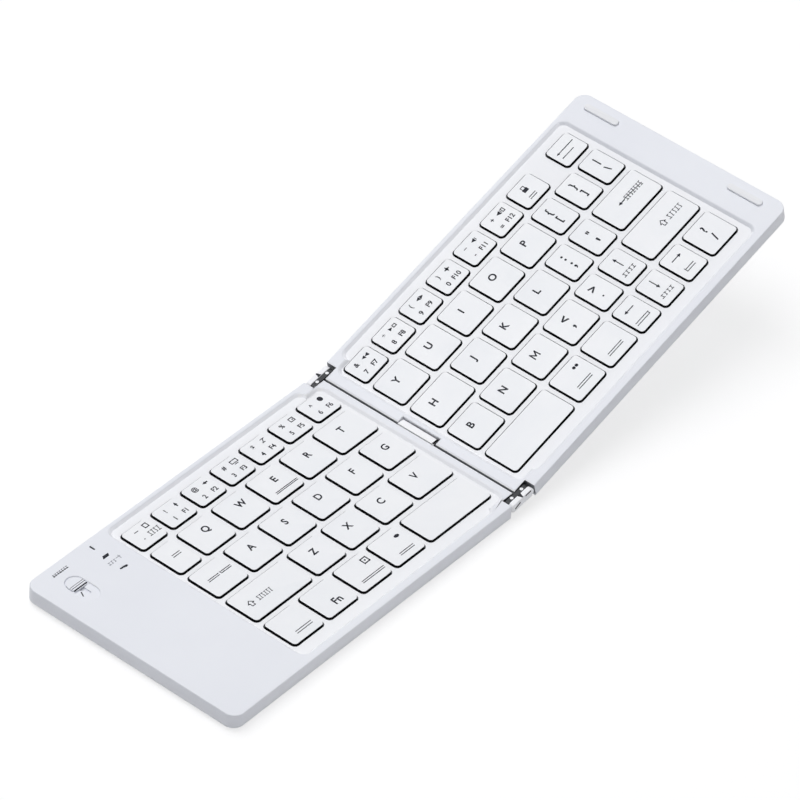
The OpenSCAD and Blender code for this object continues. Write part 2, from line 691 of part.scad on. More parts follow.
module charging_port() color("silver") on_left() translate([port_x, port_y0, 0]) rotate([-90, 0, 0])
    mirror([0, 1, 0]) difference() {
        linear_extrude(port_length) port_outline(0);
        translate([0, 0, 1]) linear_extrude(port_length) difference() {
            port_outline(0.3);
            box2(-2, 2, port_z + 0.9, port_z + 1.5);
        }
    }
module port_outline(inset) round_box2(-port_width / 2 + inset, port_width / 2 - inset,
    port_z + inset, port_z + port_height - inset, port_corner - inset);
module magnets() for (y = magnets_y) translate([magnet_x, y, -roof_thick - magnet_thick])
    cylinder(h = magnet_thick, r = magnet_r);
module left_magnets() color("gray") on_left() sided(-1) magnets();
module right_magnets() color("gray") on_right() magnets();

// Hinge: a strap and a cover at each end make one link, which turns on four pins
strap_y = notch_y + link_clear;
cover_y = strap_y + strap_thick;
bore_end = cover_y + cover_thick - cover_skin;
module at_both_ends() for (s = [0, 1]) mirror([0, s, 0]) children();
module pin_holes(r) for (x = [-pin_offset, pin_offset]) translate([x, 0]) circle(r);
module hinge_straps() color("dimgray") on_link() at_both_ends() across(strap_y, cover_y)
    translate([0, -pin_depth]) difference() {
        stadium2(2 * link_reach, strap_height);
        pin_holes(pin_r + pin_clear);
    }
module link_covers() color("whitesmoke") on_link() at_both_ends() difference() {
    across(cover_y, cover_y + cover_thick) translate([0, -pin_depth])
        stadium2(2 * link_reach, cover_height);
    across(cover_y - 1, bore_end) translate([0, -pin_depth]) pin_holes(pin_r + pin_clear);
}
module pins() at_both_ends() across(notch_y - pin_seat, bore_end - slip)
    translate([pin_offset, -pin_depth]) circle(pin_r);
module left_hinge_pins() color("silver") on_left() sided(-1) pins();
module right_hinge_pins() color("silver") on_right() pins();

// Guard over the flat cable: it is held by the left half and fills a notch in the right
module cable_guard() color("white") on_left()
    across(guard_y - guard_width / 2, guard_y + guard_width / 2) {
        difference() {
            box2(-face_x, guard_reach, -guard_height, -0.05);
            translate([guard_reach - guard_round, -0.05 - guard_round]) difference() {
                square(guard_round + 1);
                circle(guard_round);
            }
        }
        box2(-face_x - guard_tongue, -face_x + eps, -guard_height, deck_under - snug);
    }
// Flat cable between the two membranes, which bends at the hinge
function ribbon(z) = [[left_end + membrane_edge, z], [-face_x - wall, z], in_right([face_x + wall, z]),
    in_right([right_x - membrane_edge, z])];
function reversed(v) = [for (i = [len(v) - 1:-1:0]) v[i]];
module flat_cable() color("darkorange") on_left()
    across(guard_y - cable_width / 2, guard_y + cable_width / 2)
        polygon(concat(ribbon(plate_top), reversed(ribbon(membrane_top))));

left_top_shell();
left_bottom_shell();
right_top_shell();
right_bottom_shell();
left_key_plate();
left_membrane();
left_domes();
left_scissors();
right_key_plate();
right_membrane();
right_domes();
right_scissors();
esc_key();
number_keys_left();
tab_key();
q_row_keys_left();
caps_lock_key();
a_row_keys_left();
left_shift_key();
z_row_keys_left();
ctrl_key();
fn_key();
command_key();
left_alt_key();
left_space_key();
number_keys_right();
lock_key();
backspace_key();
y_row_keys_right();
bracket_keys();
h_row_keys_right();
enter_key();
b_row_keys_right();
up_key();
right_shift_key();
right_space_key();
right_alt_and_menu_keys();
left_arrow_key();
down_key();
right_arrow_key();
slash_key();
main_board();
battery();
charging_port();
power_switch();
switch_knob();
indicator_lights();
left_magnets();
right_magnets();
hinge_straps();
link_covers();
left_hinge_pins();
right_hinge_pins();
cable_guard();
flat_cable();
closing_pads();
left_feet();
right_feet();
left_screws();
right_screws();
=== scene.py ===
# %% [markdown]
# # A folding keyboard, dressed over its working model
#
# The working model already has every part at its true size, in metres. Here each part gets the
# surface that a person would see: soft edges, printed marks and real plastics, rubber and
# steel. Nothing is moved: every new piece is made where the part beneath it lies.

# %% Load the working model
import json
import math

import bmesh
import bpy
from mathutils import Matrix, Vector

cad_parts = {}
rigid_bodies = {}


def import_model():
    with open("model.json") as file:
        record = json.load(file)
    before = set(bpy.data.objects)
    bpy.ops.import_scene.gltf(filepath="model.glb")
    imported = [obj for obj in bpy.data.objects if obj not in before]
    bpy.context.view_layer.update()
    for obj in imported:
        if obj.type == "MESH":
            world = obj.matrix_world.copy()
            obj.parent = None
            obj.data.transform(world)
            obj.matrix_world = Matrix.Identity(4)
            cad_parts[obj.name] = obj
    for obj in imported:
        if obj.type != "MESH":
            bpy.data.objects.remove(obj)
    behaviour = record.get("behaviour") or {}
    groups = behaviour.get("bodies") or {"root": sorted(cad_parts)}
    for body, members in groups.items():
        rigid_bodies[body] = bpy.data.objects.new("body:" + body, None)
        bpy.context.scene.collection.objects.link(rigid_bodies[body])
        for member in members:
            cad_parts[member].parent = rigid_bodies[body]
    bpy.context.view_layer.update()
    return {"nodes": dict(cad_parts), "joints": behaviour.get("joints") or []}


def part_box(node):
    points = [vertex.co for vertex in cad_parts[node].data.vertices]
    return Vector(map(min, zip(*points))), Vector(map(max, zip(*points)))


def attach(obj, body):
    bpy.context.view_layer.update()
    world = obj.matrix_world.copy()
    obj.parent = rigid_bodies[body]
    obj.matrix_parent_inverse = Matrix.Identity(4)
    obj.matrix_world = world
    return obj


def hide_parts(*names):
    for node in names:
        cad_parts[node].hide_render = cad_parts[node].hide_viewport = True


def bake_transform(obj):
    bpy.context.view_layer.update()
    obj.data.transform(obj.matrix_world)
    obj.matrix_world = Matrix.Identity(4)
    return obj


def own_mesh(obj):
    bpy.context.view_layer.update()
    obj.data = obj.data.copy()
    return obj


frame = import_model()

nodes = frame["nodes"]
joints = {j["name"]: j for j in frame["joints"]}

# %% [markdown]
# ## Two flat drawings
#
# The keyboard stands half open, so its right half is tilted, and tilted parts are awkward to
# draw. So each half is drawn flat, in millimetres, with its top face at z = 0 and the middle of
# the hinge at x = 0, and a matrix then swings the finished drawing into place. The matrices
# come from the model's own hinge axes, so the pieces land exactly on the parts.

# %% Matrices from the flat drawings to the standing keyboard
MM = 0.001
FACE = 0.3          # each hinge face lies this far from the middle of the hinge
fold = -2 * joints["fold_left"]["range_deg"][0]
left_pin = Vector(joints["fold_left"]["pos_m"])
right_pin = Vector(joints["fold_right"]["pos_m"])
hinge_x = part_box("left_top_shell")[1].x + FACE * MM
top_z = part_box("left_top_shell")[1].z
pin_offset = hinge_x - left_pin.x
pin_depth = top_z - left_pin.z


def swung(pin, side, angle):
    """Matrix from a flat drawing to a half that is turned about its pin by an angle in degrees."""
    return (Matrix.Translation(pin) @ Matrix.Rotation(math.radians(-angle), 4, "Y")
            @ Matrix.Translation((-side * pin_offset, 0, pin_depth)) @ Matrix.Scale(MM, 4))


PLACE = {
    "left_half": swung(left_pin, -1, 0),
    "link": swung(left_pin, -1, fold / 2),
    "right_half": swung(right_pin, 1, fold),
}
print("folded by", round(fold, 2), "degrees; pins at", left_pin[:], right_pin[:])

# %% [markdown]
# ## The camera
#
# A product picture is taken from far away with a long lens, so that the far end looks hardly
# smaller than the near end. A tracking quaternion turns the camera's -Z axis to the target, and
# the camera is then rolled a little about its own line of sight.

# %% Camera
def set_out(name, data):
    """Adds an object to the scene."""
    obj = bpy.data.objects.new(name, data)
    bpy.context.scene.collection.objects.link(obj)
    return obj


def looking(place, aim):
    """Matrix of a camera or a lamp that stands at a place and looks at its aim."""
    place, aim = Vector(place), Vector(aim)
    return (Matrix.Translation(place)
            @ (aim - place).to_track_quat("-Z", "Y").to_matrix().to_4x4())


CAMERA_PLACE = -1.035067, -0.744056, 1.114144
CAMERA_AIM = 0.010379, 0.013558, 0.006
CAMERA_ROLL = 5.4738

camera_data = bpy.data.cameras.new("camera")
camera_data.lens = 265.98
camera_data.sensor_width = 36
camera = set_out("camera", camera_data)
camera.matrix_world = (looking(CAMERA_PLACE, CAMERA_AIM)
                       @ Matrix.Rotation(math.radians(CAMERA_ROLL), 4, "Z"))
bpy.context.scene.camera = camera
print("camera right axis", [round(v, 4) for v in camera.matrix_world.col[0][:3]])

# %% [markdown]
# ## Shared effects, as node groups
#
# Moulded plastic is never one flat colour: it has a fine grain, an uneven tone and edges that
# are rubbed a little brighter. Each effect is a node group with named sockets, built once and
# placed in every material with its own values. A group hands out only colours, masks and
# heights; the shader itself stays outside.


# %% Helpers that build node trees
def new_group(name, inputs, outputs):
    """Starts a node group from its sockets: names, kinds and, for some inputs, a value."""
    group = bpy.data.node_groups.new(name, "ShaderNodeTree")
    for socket, kind, *value in inputs:
        made = group.interface.new_socket(socket, in_out="INPUT", socket_type="NodeSocket" + kind)
        if value:
            made.default_value = value[0]
    for socket, kind in outputs:
        group.interface.new_socket(socket, in_out="OUTPUT", socket_type="NodeSocket" + kind)
    return group, group.nodes.new("NodeGroupInput"), group.nodes.new("NodeGroupOutput")


def add(tree, kind, values=None, **settings):
    """Adds a shader node, sets its properties and the values of its input sockets."""
    node = tree.nodes.new("ShaderNode" + kind)
    for key, value in settings.items():
        setattr(node, key, value)
    for key, value in (values or {}).items():
        node.inputs[key].default_value = value
    return node


def wire(tree, *links):
    """Makes links, each from a node and its output to a node and its input."""
    for source, output, target, entry in links:
        tree.links.new(source.outputs[output], target.inputs[entry])


# %% [markdown]
# ### Moulding grain
#
# The steel mould of a plastic shell is eroded by sparks, which leaves a field of tiny pits. A
# Voronoi texture gives the pits, a noise texture makes them less regular, and the group hands
# out their height for a Bump node.

# %% Grain group
grain, g_in, g_out = new_group(
    "moulding grain",
    [("Place", "Vector"), ("Cells per metre", "Float"), ("Softness", "Float", 0.5)],
    [("Height", "Float")])
pits = add(grain, "TexVoronoi", {"Smoothness": 0.6}, feature="SMOOTH_F1")
cloud = add(grain, "TexNoise", {"Detail": 3, "Roughness": 0.6})
mixed = add(grain, "Mix", data_type="FLOAT")
wire(grain,
     (g_in, "Place", pits, "Vector"), (g_in, "Cells per metre", pits, "Scale"),
     (g_in, "Place", cloud, "Vector"), (g_in, "Cells per metre", cloud, "Scale"),
     (g_in, "Softness", mixed, "Factor"), (pits, "Distance", mixed, "A"),
     (cloud, "Fac", mixed, "B"), (mixed, "Result", g_out, "Height"))
print("group:", grain.name)

# %% [markdown]
# ### Uneven tone
#
# Plastic flows into its mould and cools unevenly, and hands leave a faint film on it. A slow
# noise mixes two nearly equal colours, and the same mask can make the film a little glossier.

# %% Tone group
tone, t_in, t_out = new_group(
    "uneven tone",
    [("Place", "Vector"), ("Patches per metre", "Float"), ("Colour", "Color"),
     ("Other colour", "Color")],
    [("Colour", "Color"), ("Film", "Float")])
patches = add(tone, "TexNoise", {"Detail": 4, "Roughness": 0.55, "Distortion": 0.4})
spread = add(tone, "MapRange", {"From Min": 0.32, "From Max": 0.68})
shade = add(tone, "Mix", data_type="RGBA")
wire(tone,
     (t_in, "Place", patches, "Vector"), (t_in, "Patches per metre", patches, "Scale"),
     (patches, "Fac", spread, "Value"), (spread, "Result", shade, "Factor"),
     (t_in, "Colour", shade, "A"), (t_in, "Other colour", shade, "B"),
     (shade, "Result", t_out, "Colour"), (spread, "Result", t_out, "Film"))
print("group:", tone.name)

# %% [markdown]
# ### Rubbed edges and painted highlight
#
# Corners are touched most, so they wear, and their brighter colour is partly that wear and partly
# a painted highlight along the edge. Pointiness is high where the surface turns outward and low
# where it turns inward, so a narrow range of it makes a mask.

# %% Edge group
# Partly painted highlight: the mask lightens convex edges as wear and as a highlight.
edges, e_in, e_out = new_group("rubbed edges with painted highlight", [("Reach", "Float", 0.06)], [("Edge", "Float")])
geometry = add(edges, "NewGeometry")
upper = add(edges, "Math", {1: 0.5}, operation="ADD")
ramp = add(edges, "MapRange", {"From Min": 0.5})
wire(edges,
     (e_in, "Reach", upper, 0), (geometry, "Pointiness", ramp, "Value"),
     (upper, "Value", ramp, "From Max"), (ramp, "Result", e_out, "Edge"))
print("group:", edges.name)

# %% [markdown]
# ### Drawn lines
#
# Steel strip and turned pins carry fine lines along the way they were drawn. Stretching the
# place along one axis before a noise texture turns its grains into long scratches.

# %% Line group
lines, l_in, l_out = new_group(
    "drawn lines",
    [("Place", "Vector"), ("Stretch", "Vector"), ("Lines per metre", "Float")],
    [("Height", "Float"), ("Line", "Float")])
stretched = add(lines, "VectorMath", operation="MULTIPLY")
scratch = add(lines, "TexNoise", {"Detail": 2, "Roughness": 0.7})
line_mask = add(lines, "MapRange", {"From Min": 0.35, "From Max": 0.65})
wire(lines,
     (l_in, "Place", stretched, 0), (l_in, "Stretch", stretched, 1),
     (stretched, "Vector", scratch, "Vector"), (l_in, "Lines per metre", scratch, "Scale"),
     (scratch, "Fac", l_out, "Height"), (scratch, "Fac", line_mask, "Value"),
     (line_mask, "Result", l_out, "Line"))
print("group:", lines.name)

# %% [markdown]
# ## Finishes
#
# Every finish is one recipe with other numbers: an uneven tone for the colour, the film for
# the gloss, the grain for the bump, and brighter edges, partly wear and partly painted highlight.
# A function holds that recipe. What is the same all over a surface, such as a coat or sheen, is
# set on the shader itself.


# %% Colours
def paint(code):
    """Turns a screen's colour code, such as "ff8000", into the linear colour of a shader."""
    def straight(value):
        value /= 255
        return value / 12.92 if value <= 0.04045 else ((value + 0.055) / 1.055) ** 2.4
    return (*(straight(int(code[i:i + 2], 16)) for i in (0, 2, 4)), 1)


# %% The recipe
RELIEF_DEPTH = 0.00002      # depth in metres of a bump whose strength is 1


def finish(name, colour, other, edge, gloss, cells, relief, patches_per_m=18, edge_share=0.5,
           lined=None, **shader):
    """A material from its colours, its least and most roughness, and its grain and relief.

    With lined, the grain makes way for drawn lines, stretched by three factors.
    """
    material = bpy.data.materials.new(name)
    material.use_nodes = True
    tree = material.node_tree
    surface = tree.nodes["Principled BSDF"]
    for socket, value in shader.items():
        surface.inputs[socket.replace("_", " ")].default_value = value
    place = add(tree, "TexCoord")
    toned = add(tree, "Group", {"Patches per metre": patches_per_m, "Colour": paint(colour),
                                "Other colour": paint(other)}, node_tree=tone)
    # The brighter edge colour mixed in here is partly wear and partly a painted highlight.
    edge_wear_and_highlight = add(tree, "Group", node_tree=edges)
    share = add(tree, "Math", {1: edge_share}, operation="MULTIPLY")
    worn_and_highlit = add(tree, "Mix", {"B": paint(edge)}, data_type="RGBA")
    if lined:
        texture = add(tree, "Group", {"Stretch": lined, "Lines per metre": cells},
                      node_tree=lines)
    else:
        texture = add(tree, "Group", {"Cells per metre": cells}, node_tree=grain)
    varied = (texture, "Line") if lined else (toned, "Film")
    rough = add(tree, "MapRange", {"To Min": gloss[0], "To Max": gloss[1]})
    bump = add(tree, "Bump", {"Strength": relief, "Distance": RELIEF_DEPTH})
    wire(tree,
         (place, "Object", toned, "Place"), (place, "Object", texture, "Place"),
         (edge_wear_and_highlight, "Edge", share, 0), (share, "Value", worn_and_highlit, "Factor"),
         (toned, "Colour", worn_and_highlit, "A"), (worn_and_highlit, "Result", surface, "Base Color"),
         (*varied, rough, "Value"), (rough, "Result", surface, "Roughness"),
         (texture, "Height", bump, "Height"), (bump, "Normal", surface, "Normal"))
    return material


# %% [markdown]
# ### White and grey plastics
#
# The shells are white ABS with a fine satin grain; the key tops are smoother and a little
# brighter. The flanks of the keys are painted black as the shadow in the gap round each key, so
# that each key stands out from the white deck.
# Pointiness is stored at the vertices and fades across whole faces, so the shells, whose flat
# faces are large, go without rubbed edges.

# %% Plastics
white_shell = finish(
    "satin white shell", "edeff5", "e9ebf2", "f8f9fc", (0.34, 0.44), 3200, 0.12, edge_share=0,
    Coat_Weight=0.08, Coat_Roughness=0.3)
# Painted light: the deck is a lighter white than the shell, to lift the shade between the keys.
deck_white_painted_light = finish(
    "white deck with painted light", "f6f7fa", "f3f4f8", "fafafd", (0.34, 0.44), 3200, 0.12, edge_share=0)
under_shell = finish(
    "pale grey underside", "eef0f4", "e8ebf0", "f8f9fb", (0.45, 0.6), 2200, 0.25, edge_share=0)
key_top = finish(
    "smooth white key top", "f5f6f9", "f1f3f7", "fcfcfe", (0.3, 0.42), 5200, 0.08,
    patches_per_m=60)
# Painted shade: this black stands for the shadow in narrow gaps, first of all round the keys.
black_painted_shade = finish(
    "black painted shade of key gaps", "060608", "0c0c0e", "101012", (0.7, 0.85), 5200, 0.08,
    Specular_IOR_Level=0.1)
# This white is also painted light on the well's walls, brighter than the shell's own white.
cover_white_and_painted_wall_light = finish(
    "white link cover and painted wall light", "fafbff", "f6f7fd", "ffffff", (0.3, 0.42), 3000, 0.1)
dark_plastic = finish(
    "dark plastic", "2e3034", "24262a", "505258", (0.4, 0.55), 2600, 0.2)
scissor_white = finish(
    "milky link plastic", "e2e4e4", "d6d9db", "f0f0f0", (0.28, 0.4), 2600, 0.1,
    Subsurface_Weight=0.1)
light_pipe = finish(
    "clear light pipe", "e4e7ec", "dee2e9", "f0f3f8", (0.12, 0.2), 2000, 0.05, Coat_Weight=0.4)
print("plastics ready")

# %% [markdown]
# ### Rubber, film and foil
#
# Feet, pads and domes are silicone rubber: no sharp reflections, and a soft sheen like dust.
# The contact membrane and flat cable are printed polyester film, which is smooth and clear.

# %% Rubbers and films
foot_rubber = finish(
    "grey foot rubber", "606266", "54565a", "7c7e82", (0.75, 0.88), 1800, 0.5, Sheen_Weight=0.25)
pad_rubber = finish(
    "pale pad rubber", "e9eaef", "e5e6eb", "f6f7f9", (0.55, 0.7), 2200, 0.3, Sheen_Weight=0.1)
dome_rubber = finish(
    "dome rubber", "808286", "707276", "9c9ea2", (0.6, 0.75), 2400, 0.2, Sheen_Weight=0.15)
cable_film = finish(
    "amber cable film", "b07634", "a0682c", "ce9654", (0.22, 0.34), 1100, 0.25, lined=(1, 18, 1))
membrane_film = finish(
    "contact membrane", "3a4e52", "304248", "5a6e72", (0.2, 0.3), 700, 0.15, patches_per_m=220)
battery_foil = finish(
    "battery pouch foil", "a8acb2", "969aa2", "ced1d6", (0.28, 0.42), 600, 0.6, Metallic=0.7)
print("rubbers and films ready")

# %% [markdown]
# ### Metals
#
# The link straps are dark plated steel with drawn lines, the pins and the screws are bright.
# The key plate is rolled aluminium. Metals show their shape by reflections, so their roughness
# follows the lines rather than the tone.

# %% Metals
dark_steel = finish(
    "dark plated steel", "26272a", "1c1d20", "585a5e", (0.42, 0.58), 700, 0.35, edge_share=0.3,
    lined=(22, 1, 1), Metallic=0.55)
# Painted shade: these two colours darken the walls of the hinge gap and of the link pockets.
painted_hinge_shade = finish(
    "dark painted shade in hinge recess", "323337", "26272b", "46474b", (0.6, 0.75), 2600, 0.2, edge_share=0.2,
    Specular_IOR_Level=0.2)
painted_hinge_grey_shade = finish(
    "grey painted shade in hinge recess", "7c7e84", "707278", "96989e", (0.5, 0.65), 2600, 0.2, edge_share=0.2)
bright_steel = finish(
    "bright steel", "ced0d4", "bcbec3", "eeeff2", (0.16, 0.3), 900, 0.25, lined=(1, 14, 1),
    Metallic=1)
plate_metal = finish(
    "rolled plate", "c4c6ca", "b6b9be", "e0e1e5", (0.3, 0.45), 500, 0.3, lined=(1, 24, 24),
    Metallic=0.95)
magnet_metal = finish(
    "plated magnet", "b0b2b6", "a0a2a8", "d6d8dc", (0.18, 0.3), 1500, 0.15, Metallic=1)
print("metals ready")

# %% [markdown]
# ### Circuit board and printed marks
#
# The board is green solder mask over copper tracks, so its colour jumps between two greens in
# small blocks. The key marks are pad-printed in dark grey ink, a little thin in places.

# %% Board and ink
board_green = finish(
    "green solder mask", "1e5c3e", "164830", "5c8c6c", (0.22, 0.36), 900, 0.4, patches_per_m=420)
ink = finish(
    "dark grey ink", "1a1b23", "262730", "2e2f38", (0.6, 0.75), 4000, 0.1, patches_per_m=700,
    edge_share=0.2, Specular_IOR_Level=0.2)
faint_ink = finish(
    "pale grey ink", "8a8c96", "9c9ea6", "a6a8af", (0.6, 0.75), 4000, 0.1, patches_per_m=700,
    edge_share=0.2, Specular_IOR_Level=0.2)
print("board and inks ready")

# %% [markdown]
# ## Parts whose shape is already right
#
# Many parts are already shaped as they should look: plates, screws, battery, magnets. They
# only need their finish, which goes into the material slot that each came with.

# %% Finishes for the parts that stay
STAY = (
    (plate_metal, "left_key_plate right_key_plate"),
    (membrane_film, "left_membrane right_membrane"),
    (board_green, "main_board"), (battery_foil, "battery"), (dark_plastic, "power_switch"),
    (light_pipe, "indicator_lights"), (magnet_metal, "left_magnets right_magnets"),
    (bright_steel, "charging_port left_hinge_pins right_hinge_pins left_screws right_screws"),
)
for material, names in STAY:
    for name in names.split():
        nodes[name].material_slots[0].material = material
    print(material.name, "on", names)

# %% [markdown]
# ## Softened copies
#
# No moulded edge is truly sharp, and a thin highlight along the edges makes plastic look real.
# For such parts the mesh is copied into the flat drawing, its triangles are merged into whole
# faces, and chosen edges are beveled. Each corner then gets a normal in which the largest of the
# nearly level faces lead, so that large faces stay flat and only the narrow bevels look round.


# %% Helpers that copy, soften and place a part
def drawing(name, body):
    """A part's mesh, lying flat in millimetres, with its doubled corners merged."""
    shape = bmesh.new()
    shape.from_mesh(nodes[name].data)
    bmesh.ops.transform(shape, matrix=PLACE[body].inverted(), verts=shape.verts)
    bmesh.ops.remove_doubles(shape, verts=shape.verts, dist=0.002)
    return shape


def merge_level_faces(shape, **limits):
    bmesh.ops.dissolve_limit(shape, angle_limit=math.radians(0.6), verts=shape.verts,
                             edges=shape.edges, **limits)


def flat_copy(name, body, cut_at=()):
    """A drawing whose coplanar triangles are merged.

    A face can't have a hole in it. So the mesh is first cut across at the given heights of y,
    which pass through its holes, and those cuts are kept as seams.
    """
    shape = drawing(name, body)
    for y in cut_at:
        cut = bmesh.ops.bisect_plane(shape, geom=shape.verts[:] + shape.edges[:] + shape.faces[:],
                                     dist=0.001, plane_co=(0, y, 0), plane_no=(0, 1, 0))
        for item in cut["geom_cut"]:
            if isinstance(item, bmesh.types.BMEdge):
                item.seam = True
    merge_level_faces(shape, delimit={"SEAM"})
    return shape


def soften(shape, wanted, width, steps=3, sharper_than=25):
    """Bevels each edge that turns by more than an angle and that wanted(edge) picks."""
    chosen = [edge for edge in shape.edges
              if len(edge.link_faces) == 2
              and edge.calc_face_angle(0) > math.radians(sharper_than) and wanted(edge)]
    bmesh.ops.bevel(shape, geom=chosen, offset=width, segments=steps, profile=0.5,
                    affect="EDGES", clamp_overlap=False, loop_slide=True)
    return len(chosen)


def large_faces_lead(mesh, angle):
    """Sets each corner's normal: faces within an angle count by the square of their area."""
    around = [[] for vert in mesh.vertices]
    for face in mesh.polygons:
        for index in face.vertices:
            around[index].append((face.normal.copy(), (face.area / MM ** 2) ** 2))
    reach = math.cos(math.radians(angle))
    normals = []
    for face in mesh.polygons:
        for index in face.vertices:
            near = (normal * weight for normal, weight in around[index]
                    if normal.dot(face.normal) > reach)
            normals.append(sum(near, Vector()).normalized())
    mesh.normals_split_custom_set(normals)


def settle(name, shape, body, rides_on, materials, smooth=32, weighted=True, replaced=()):
    """Turns a flat drawing into an object in its place, riding on its body."""
    bmesh.ops.transform(shape, matrix=PLACE[body], verts=shape.verts)
    bmesh.ops.recalc_face_normals(shape, faces=shape.faces)
    mesh = bpy.data.meshes.new(name)
    shape.to_mesh(mesh)
    shape.free()
    for material in materials:
        mesh.materials.append(material)
    mesh.shade_smooth()
    mesh.set_sharp_from_angle(angle=math.radians(smooth))
    if weighted:
        large_faces_lead(mesh, smooth)
    piece = set_out(name, mesh)
    if rides_on:
        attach(piece, rides_on)
    if replaced:
        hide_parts(*replaced)
    return piece


def at_height(edge, z, slack=0.02):
    return all(abs(v.co.z - z) < slack for v in edge.verts)


# %% [markdown]
# ### The two upper shells
#
# Each upper shell is one moulding: a thin rim, a shallow well with sloping walls, and a deck
# with an opening for each key. The rim and the top of the well get a soft edge of a third of a
# millimetre. The joint with the lower shell gets a much smaller one, which shows as a hairline.

# %% Upper shells
TOP_EDGE = 0.32
SEAM = 0.07
DECK = -0.9         # height of the deck between the keys
FLOOR_TOP = -4.2    # height of the joint line between the upper and lower shells
BODY_SIDE = 38.5    # half the depth of the body
CORNERS_FROM = 118  # beyond this x the outline runs round the outer corners
SMALL_HOLE_X = 99.5, 101.9
ROW_MIDDLES = [28.7, 16.275, 2.425, -11.425, -25.275]
LEFT_HOLES = [35.4, 30.6, 26.3, 23.8]
RIGHT_HOLES = [27.85]
POCKET_X, POCKET_Y = 5.4, 35.0      # the pocket of each link reaches this far
GAP_X = FACE + 0.22                 # and the gap between the halves this far
KEYS_END, WELL_END = 112, 37
SHELL_SHADES = [white_shell, painted_hinge_shade, black_painted_shade, painted_hinge_grey_shade, cover_white_and_painted_wall_light, deck_white_painted_light]
PLAIN, PAINTED_SHADE, PAINTED_GAP_SHADE, PAINTED_GREY_SHADE, PAINTED_LIGHT_WALL, PAINTED_LIGHT_DECK = range(len(SHELL_SHADES))


def shade_number(face):
    """Number of a face's material: painted shade at the hinge and in key openings, painted light in
    the well.
    """
    x, y, z = (abs(value) for value in face.calc_center_median())
    # Painted shade: the walls of the link pockets and of the gap between the halves are dark or
    # grey.
    if x < POCKET_X and y > POCKET_Y and z > 0.2:
        return PAINTED_GREY_SHADE if abs(face.normal.x) > 0.5 else PAINTED_SHADE
    if x < GAP_X and z > 0.3:
        return PAINTED_GREY_SHADE if face.normal.x < -0.5 else PAINTED_SHADE
    if x > KEYS_END or y > WELL_END:
        return PLAIN
    # Painted light: the well's walls and its deck take brighter whites to lift the shade there.
    if 0.1 < z < -DECK - 0.05:
        return PAINTED_LIGHT_WALL
    if face.normal.z > 0.9 and abs(z + DECK) < 0.02:
        return PAINTED_LIGHT_DECK
    # Painted shade: some walls of the key openings are black, as the shadow in the gaps.
    seen_side = abs(face.normal.z) < 0.2 and face.normal.x + face.normal.y > 0
    return PAINTED_GAP_SHADE if seen_side and -DECK + 0.1 < z < -DECK + 0.7 else PLAIN


def soften_joint(shape):
    """Softens the outer edge along the joint line of the two shells."""
    soften(shape, lambda edge: at_height(edge, FLOOR_TOP) and all(
        abs(abs(v.co.y) - BODY_SIDE) < 0.3 or abs(v.co.x) > CORNERS_FROM for v in edge.verts),
        SEAM, steps=1, sharper_than=60)


def upper_shell(name, body, cut_at, hole_x=(0, 0)):
    shape = flat_copy(name, body, cut_at)
    before = len(shape.faces)

    def rim(edge):
        middle_x = (edge.verts[0].co.x + edge.verts[1].co.x) / 2
        return at_height(edge, 0) and not hole_x[0] < abs(middle_x) < hole_x[1]

    soften(shape, rim, TOP_EDGE)
    soften_joint(shape)
    for face in shape.faces:
        face.material_index = shade_number(face)
    print(name, before, "faces became", len(shape.faces))
    settle(name + "_skin", shape, body, body, SHELL_SHADES, replaced=[name])


upper_shell("left_top_shell", "left_half", ROW_MIDDLES + LEFT_HOLES, SMALL_HOLE_X)
upper_shell("right_top_shell", "right_half", ROW_MIDDLES + RIGHT_HOLES)

# %% [markdown]
# ### The two lower shells
#
# The lower shells close the body from below. Their outer edge is already round, so only the
# hairline at the joint and the rims of the screw holes and foot seats are softened.


# %% Lower shells
UNDERSIDE = -5.2

for side in ("left", "right"):
    name, body = side + "_bottom_shell", side + "_half"
    shape = flat_copy(name, body)
    soften_joint(shape)
    soften(shape, lambda edge: at_height(edge, UNDERSIDE), 0.12, steps=2, sharper_than=60)
    settle(name + "_skin", shape, body, body, [under_shell], replaced=[name])
print("lower shells ready")

# %% [markdown]
# ## The keys
#
# A cap is a thin hollow lid. On a beveled cube the corners seen from above and the top edge
# could not have different radii, so each cap is lofted: rings of points are drawn as rounded
# rectangles at several heights and insets, and bridged with quads from the inside of the roof,
# round the skirt, to the top.


# %% Rings and lofts
def ring(rect, inset, z, radius, corner_steps=6):
    """Points round a rectangle x0, x1, y0, y1 whose corners are rounded."""
    x0, x1, y0, y1 = (value + (inset + radius) * way for value, way in zip(rect, (1, -1, 1, -1)))
    points = []
    for cx, cy, start in (x1, y1, 0), (x0, y1, 90), (x0, y0, 180), (x1, y0, 270):
        for i in range(corner_steps + 1):
            a = math.radians(start + 90 * i / corner_steps)
            points.append((cx + radius * math.cos(a), cy + radius * math.sin(a), z))
    return points


def loft(shape, rings, slots):
    """Bridges rings with quads, closes both ends and gives each band its material number."""
    rows = [[shape.verts.new(p) for p in points] for points in rings]
    count = len(rows[0])
    shape.faces.new(rows[0][::-1]).material_index = slots[0]
    for row, nxt, number in zip(rows, rows[1:], slots):
        for i in range(count):
            j = (i + 1) % count
            shape.faces.new((row[i], row[j], nxt[j], nxt[i])).material_index = number
    shape.faces.new(rows[-1]).material_index = slots[-1]


# %% [markdown]
# ### Where the caps lie
#
# A row of equal keys is one part with several loose caps. Splitting the part's mesh into its
# islands gives each cap's rectangle, so the places are read from the model, not typed again.


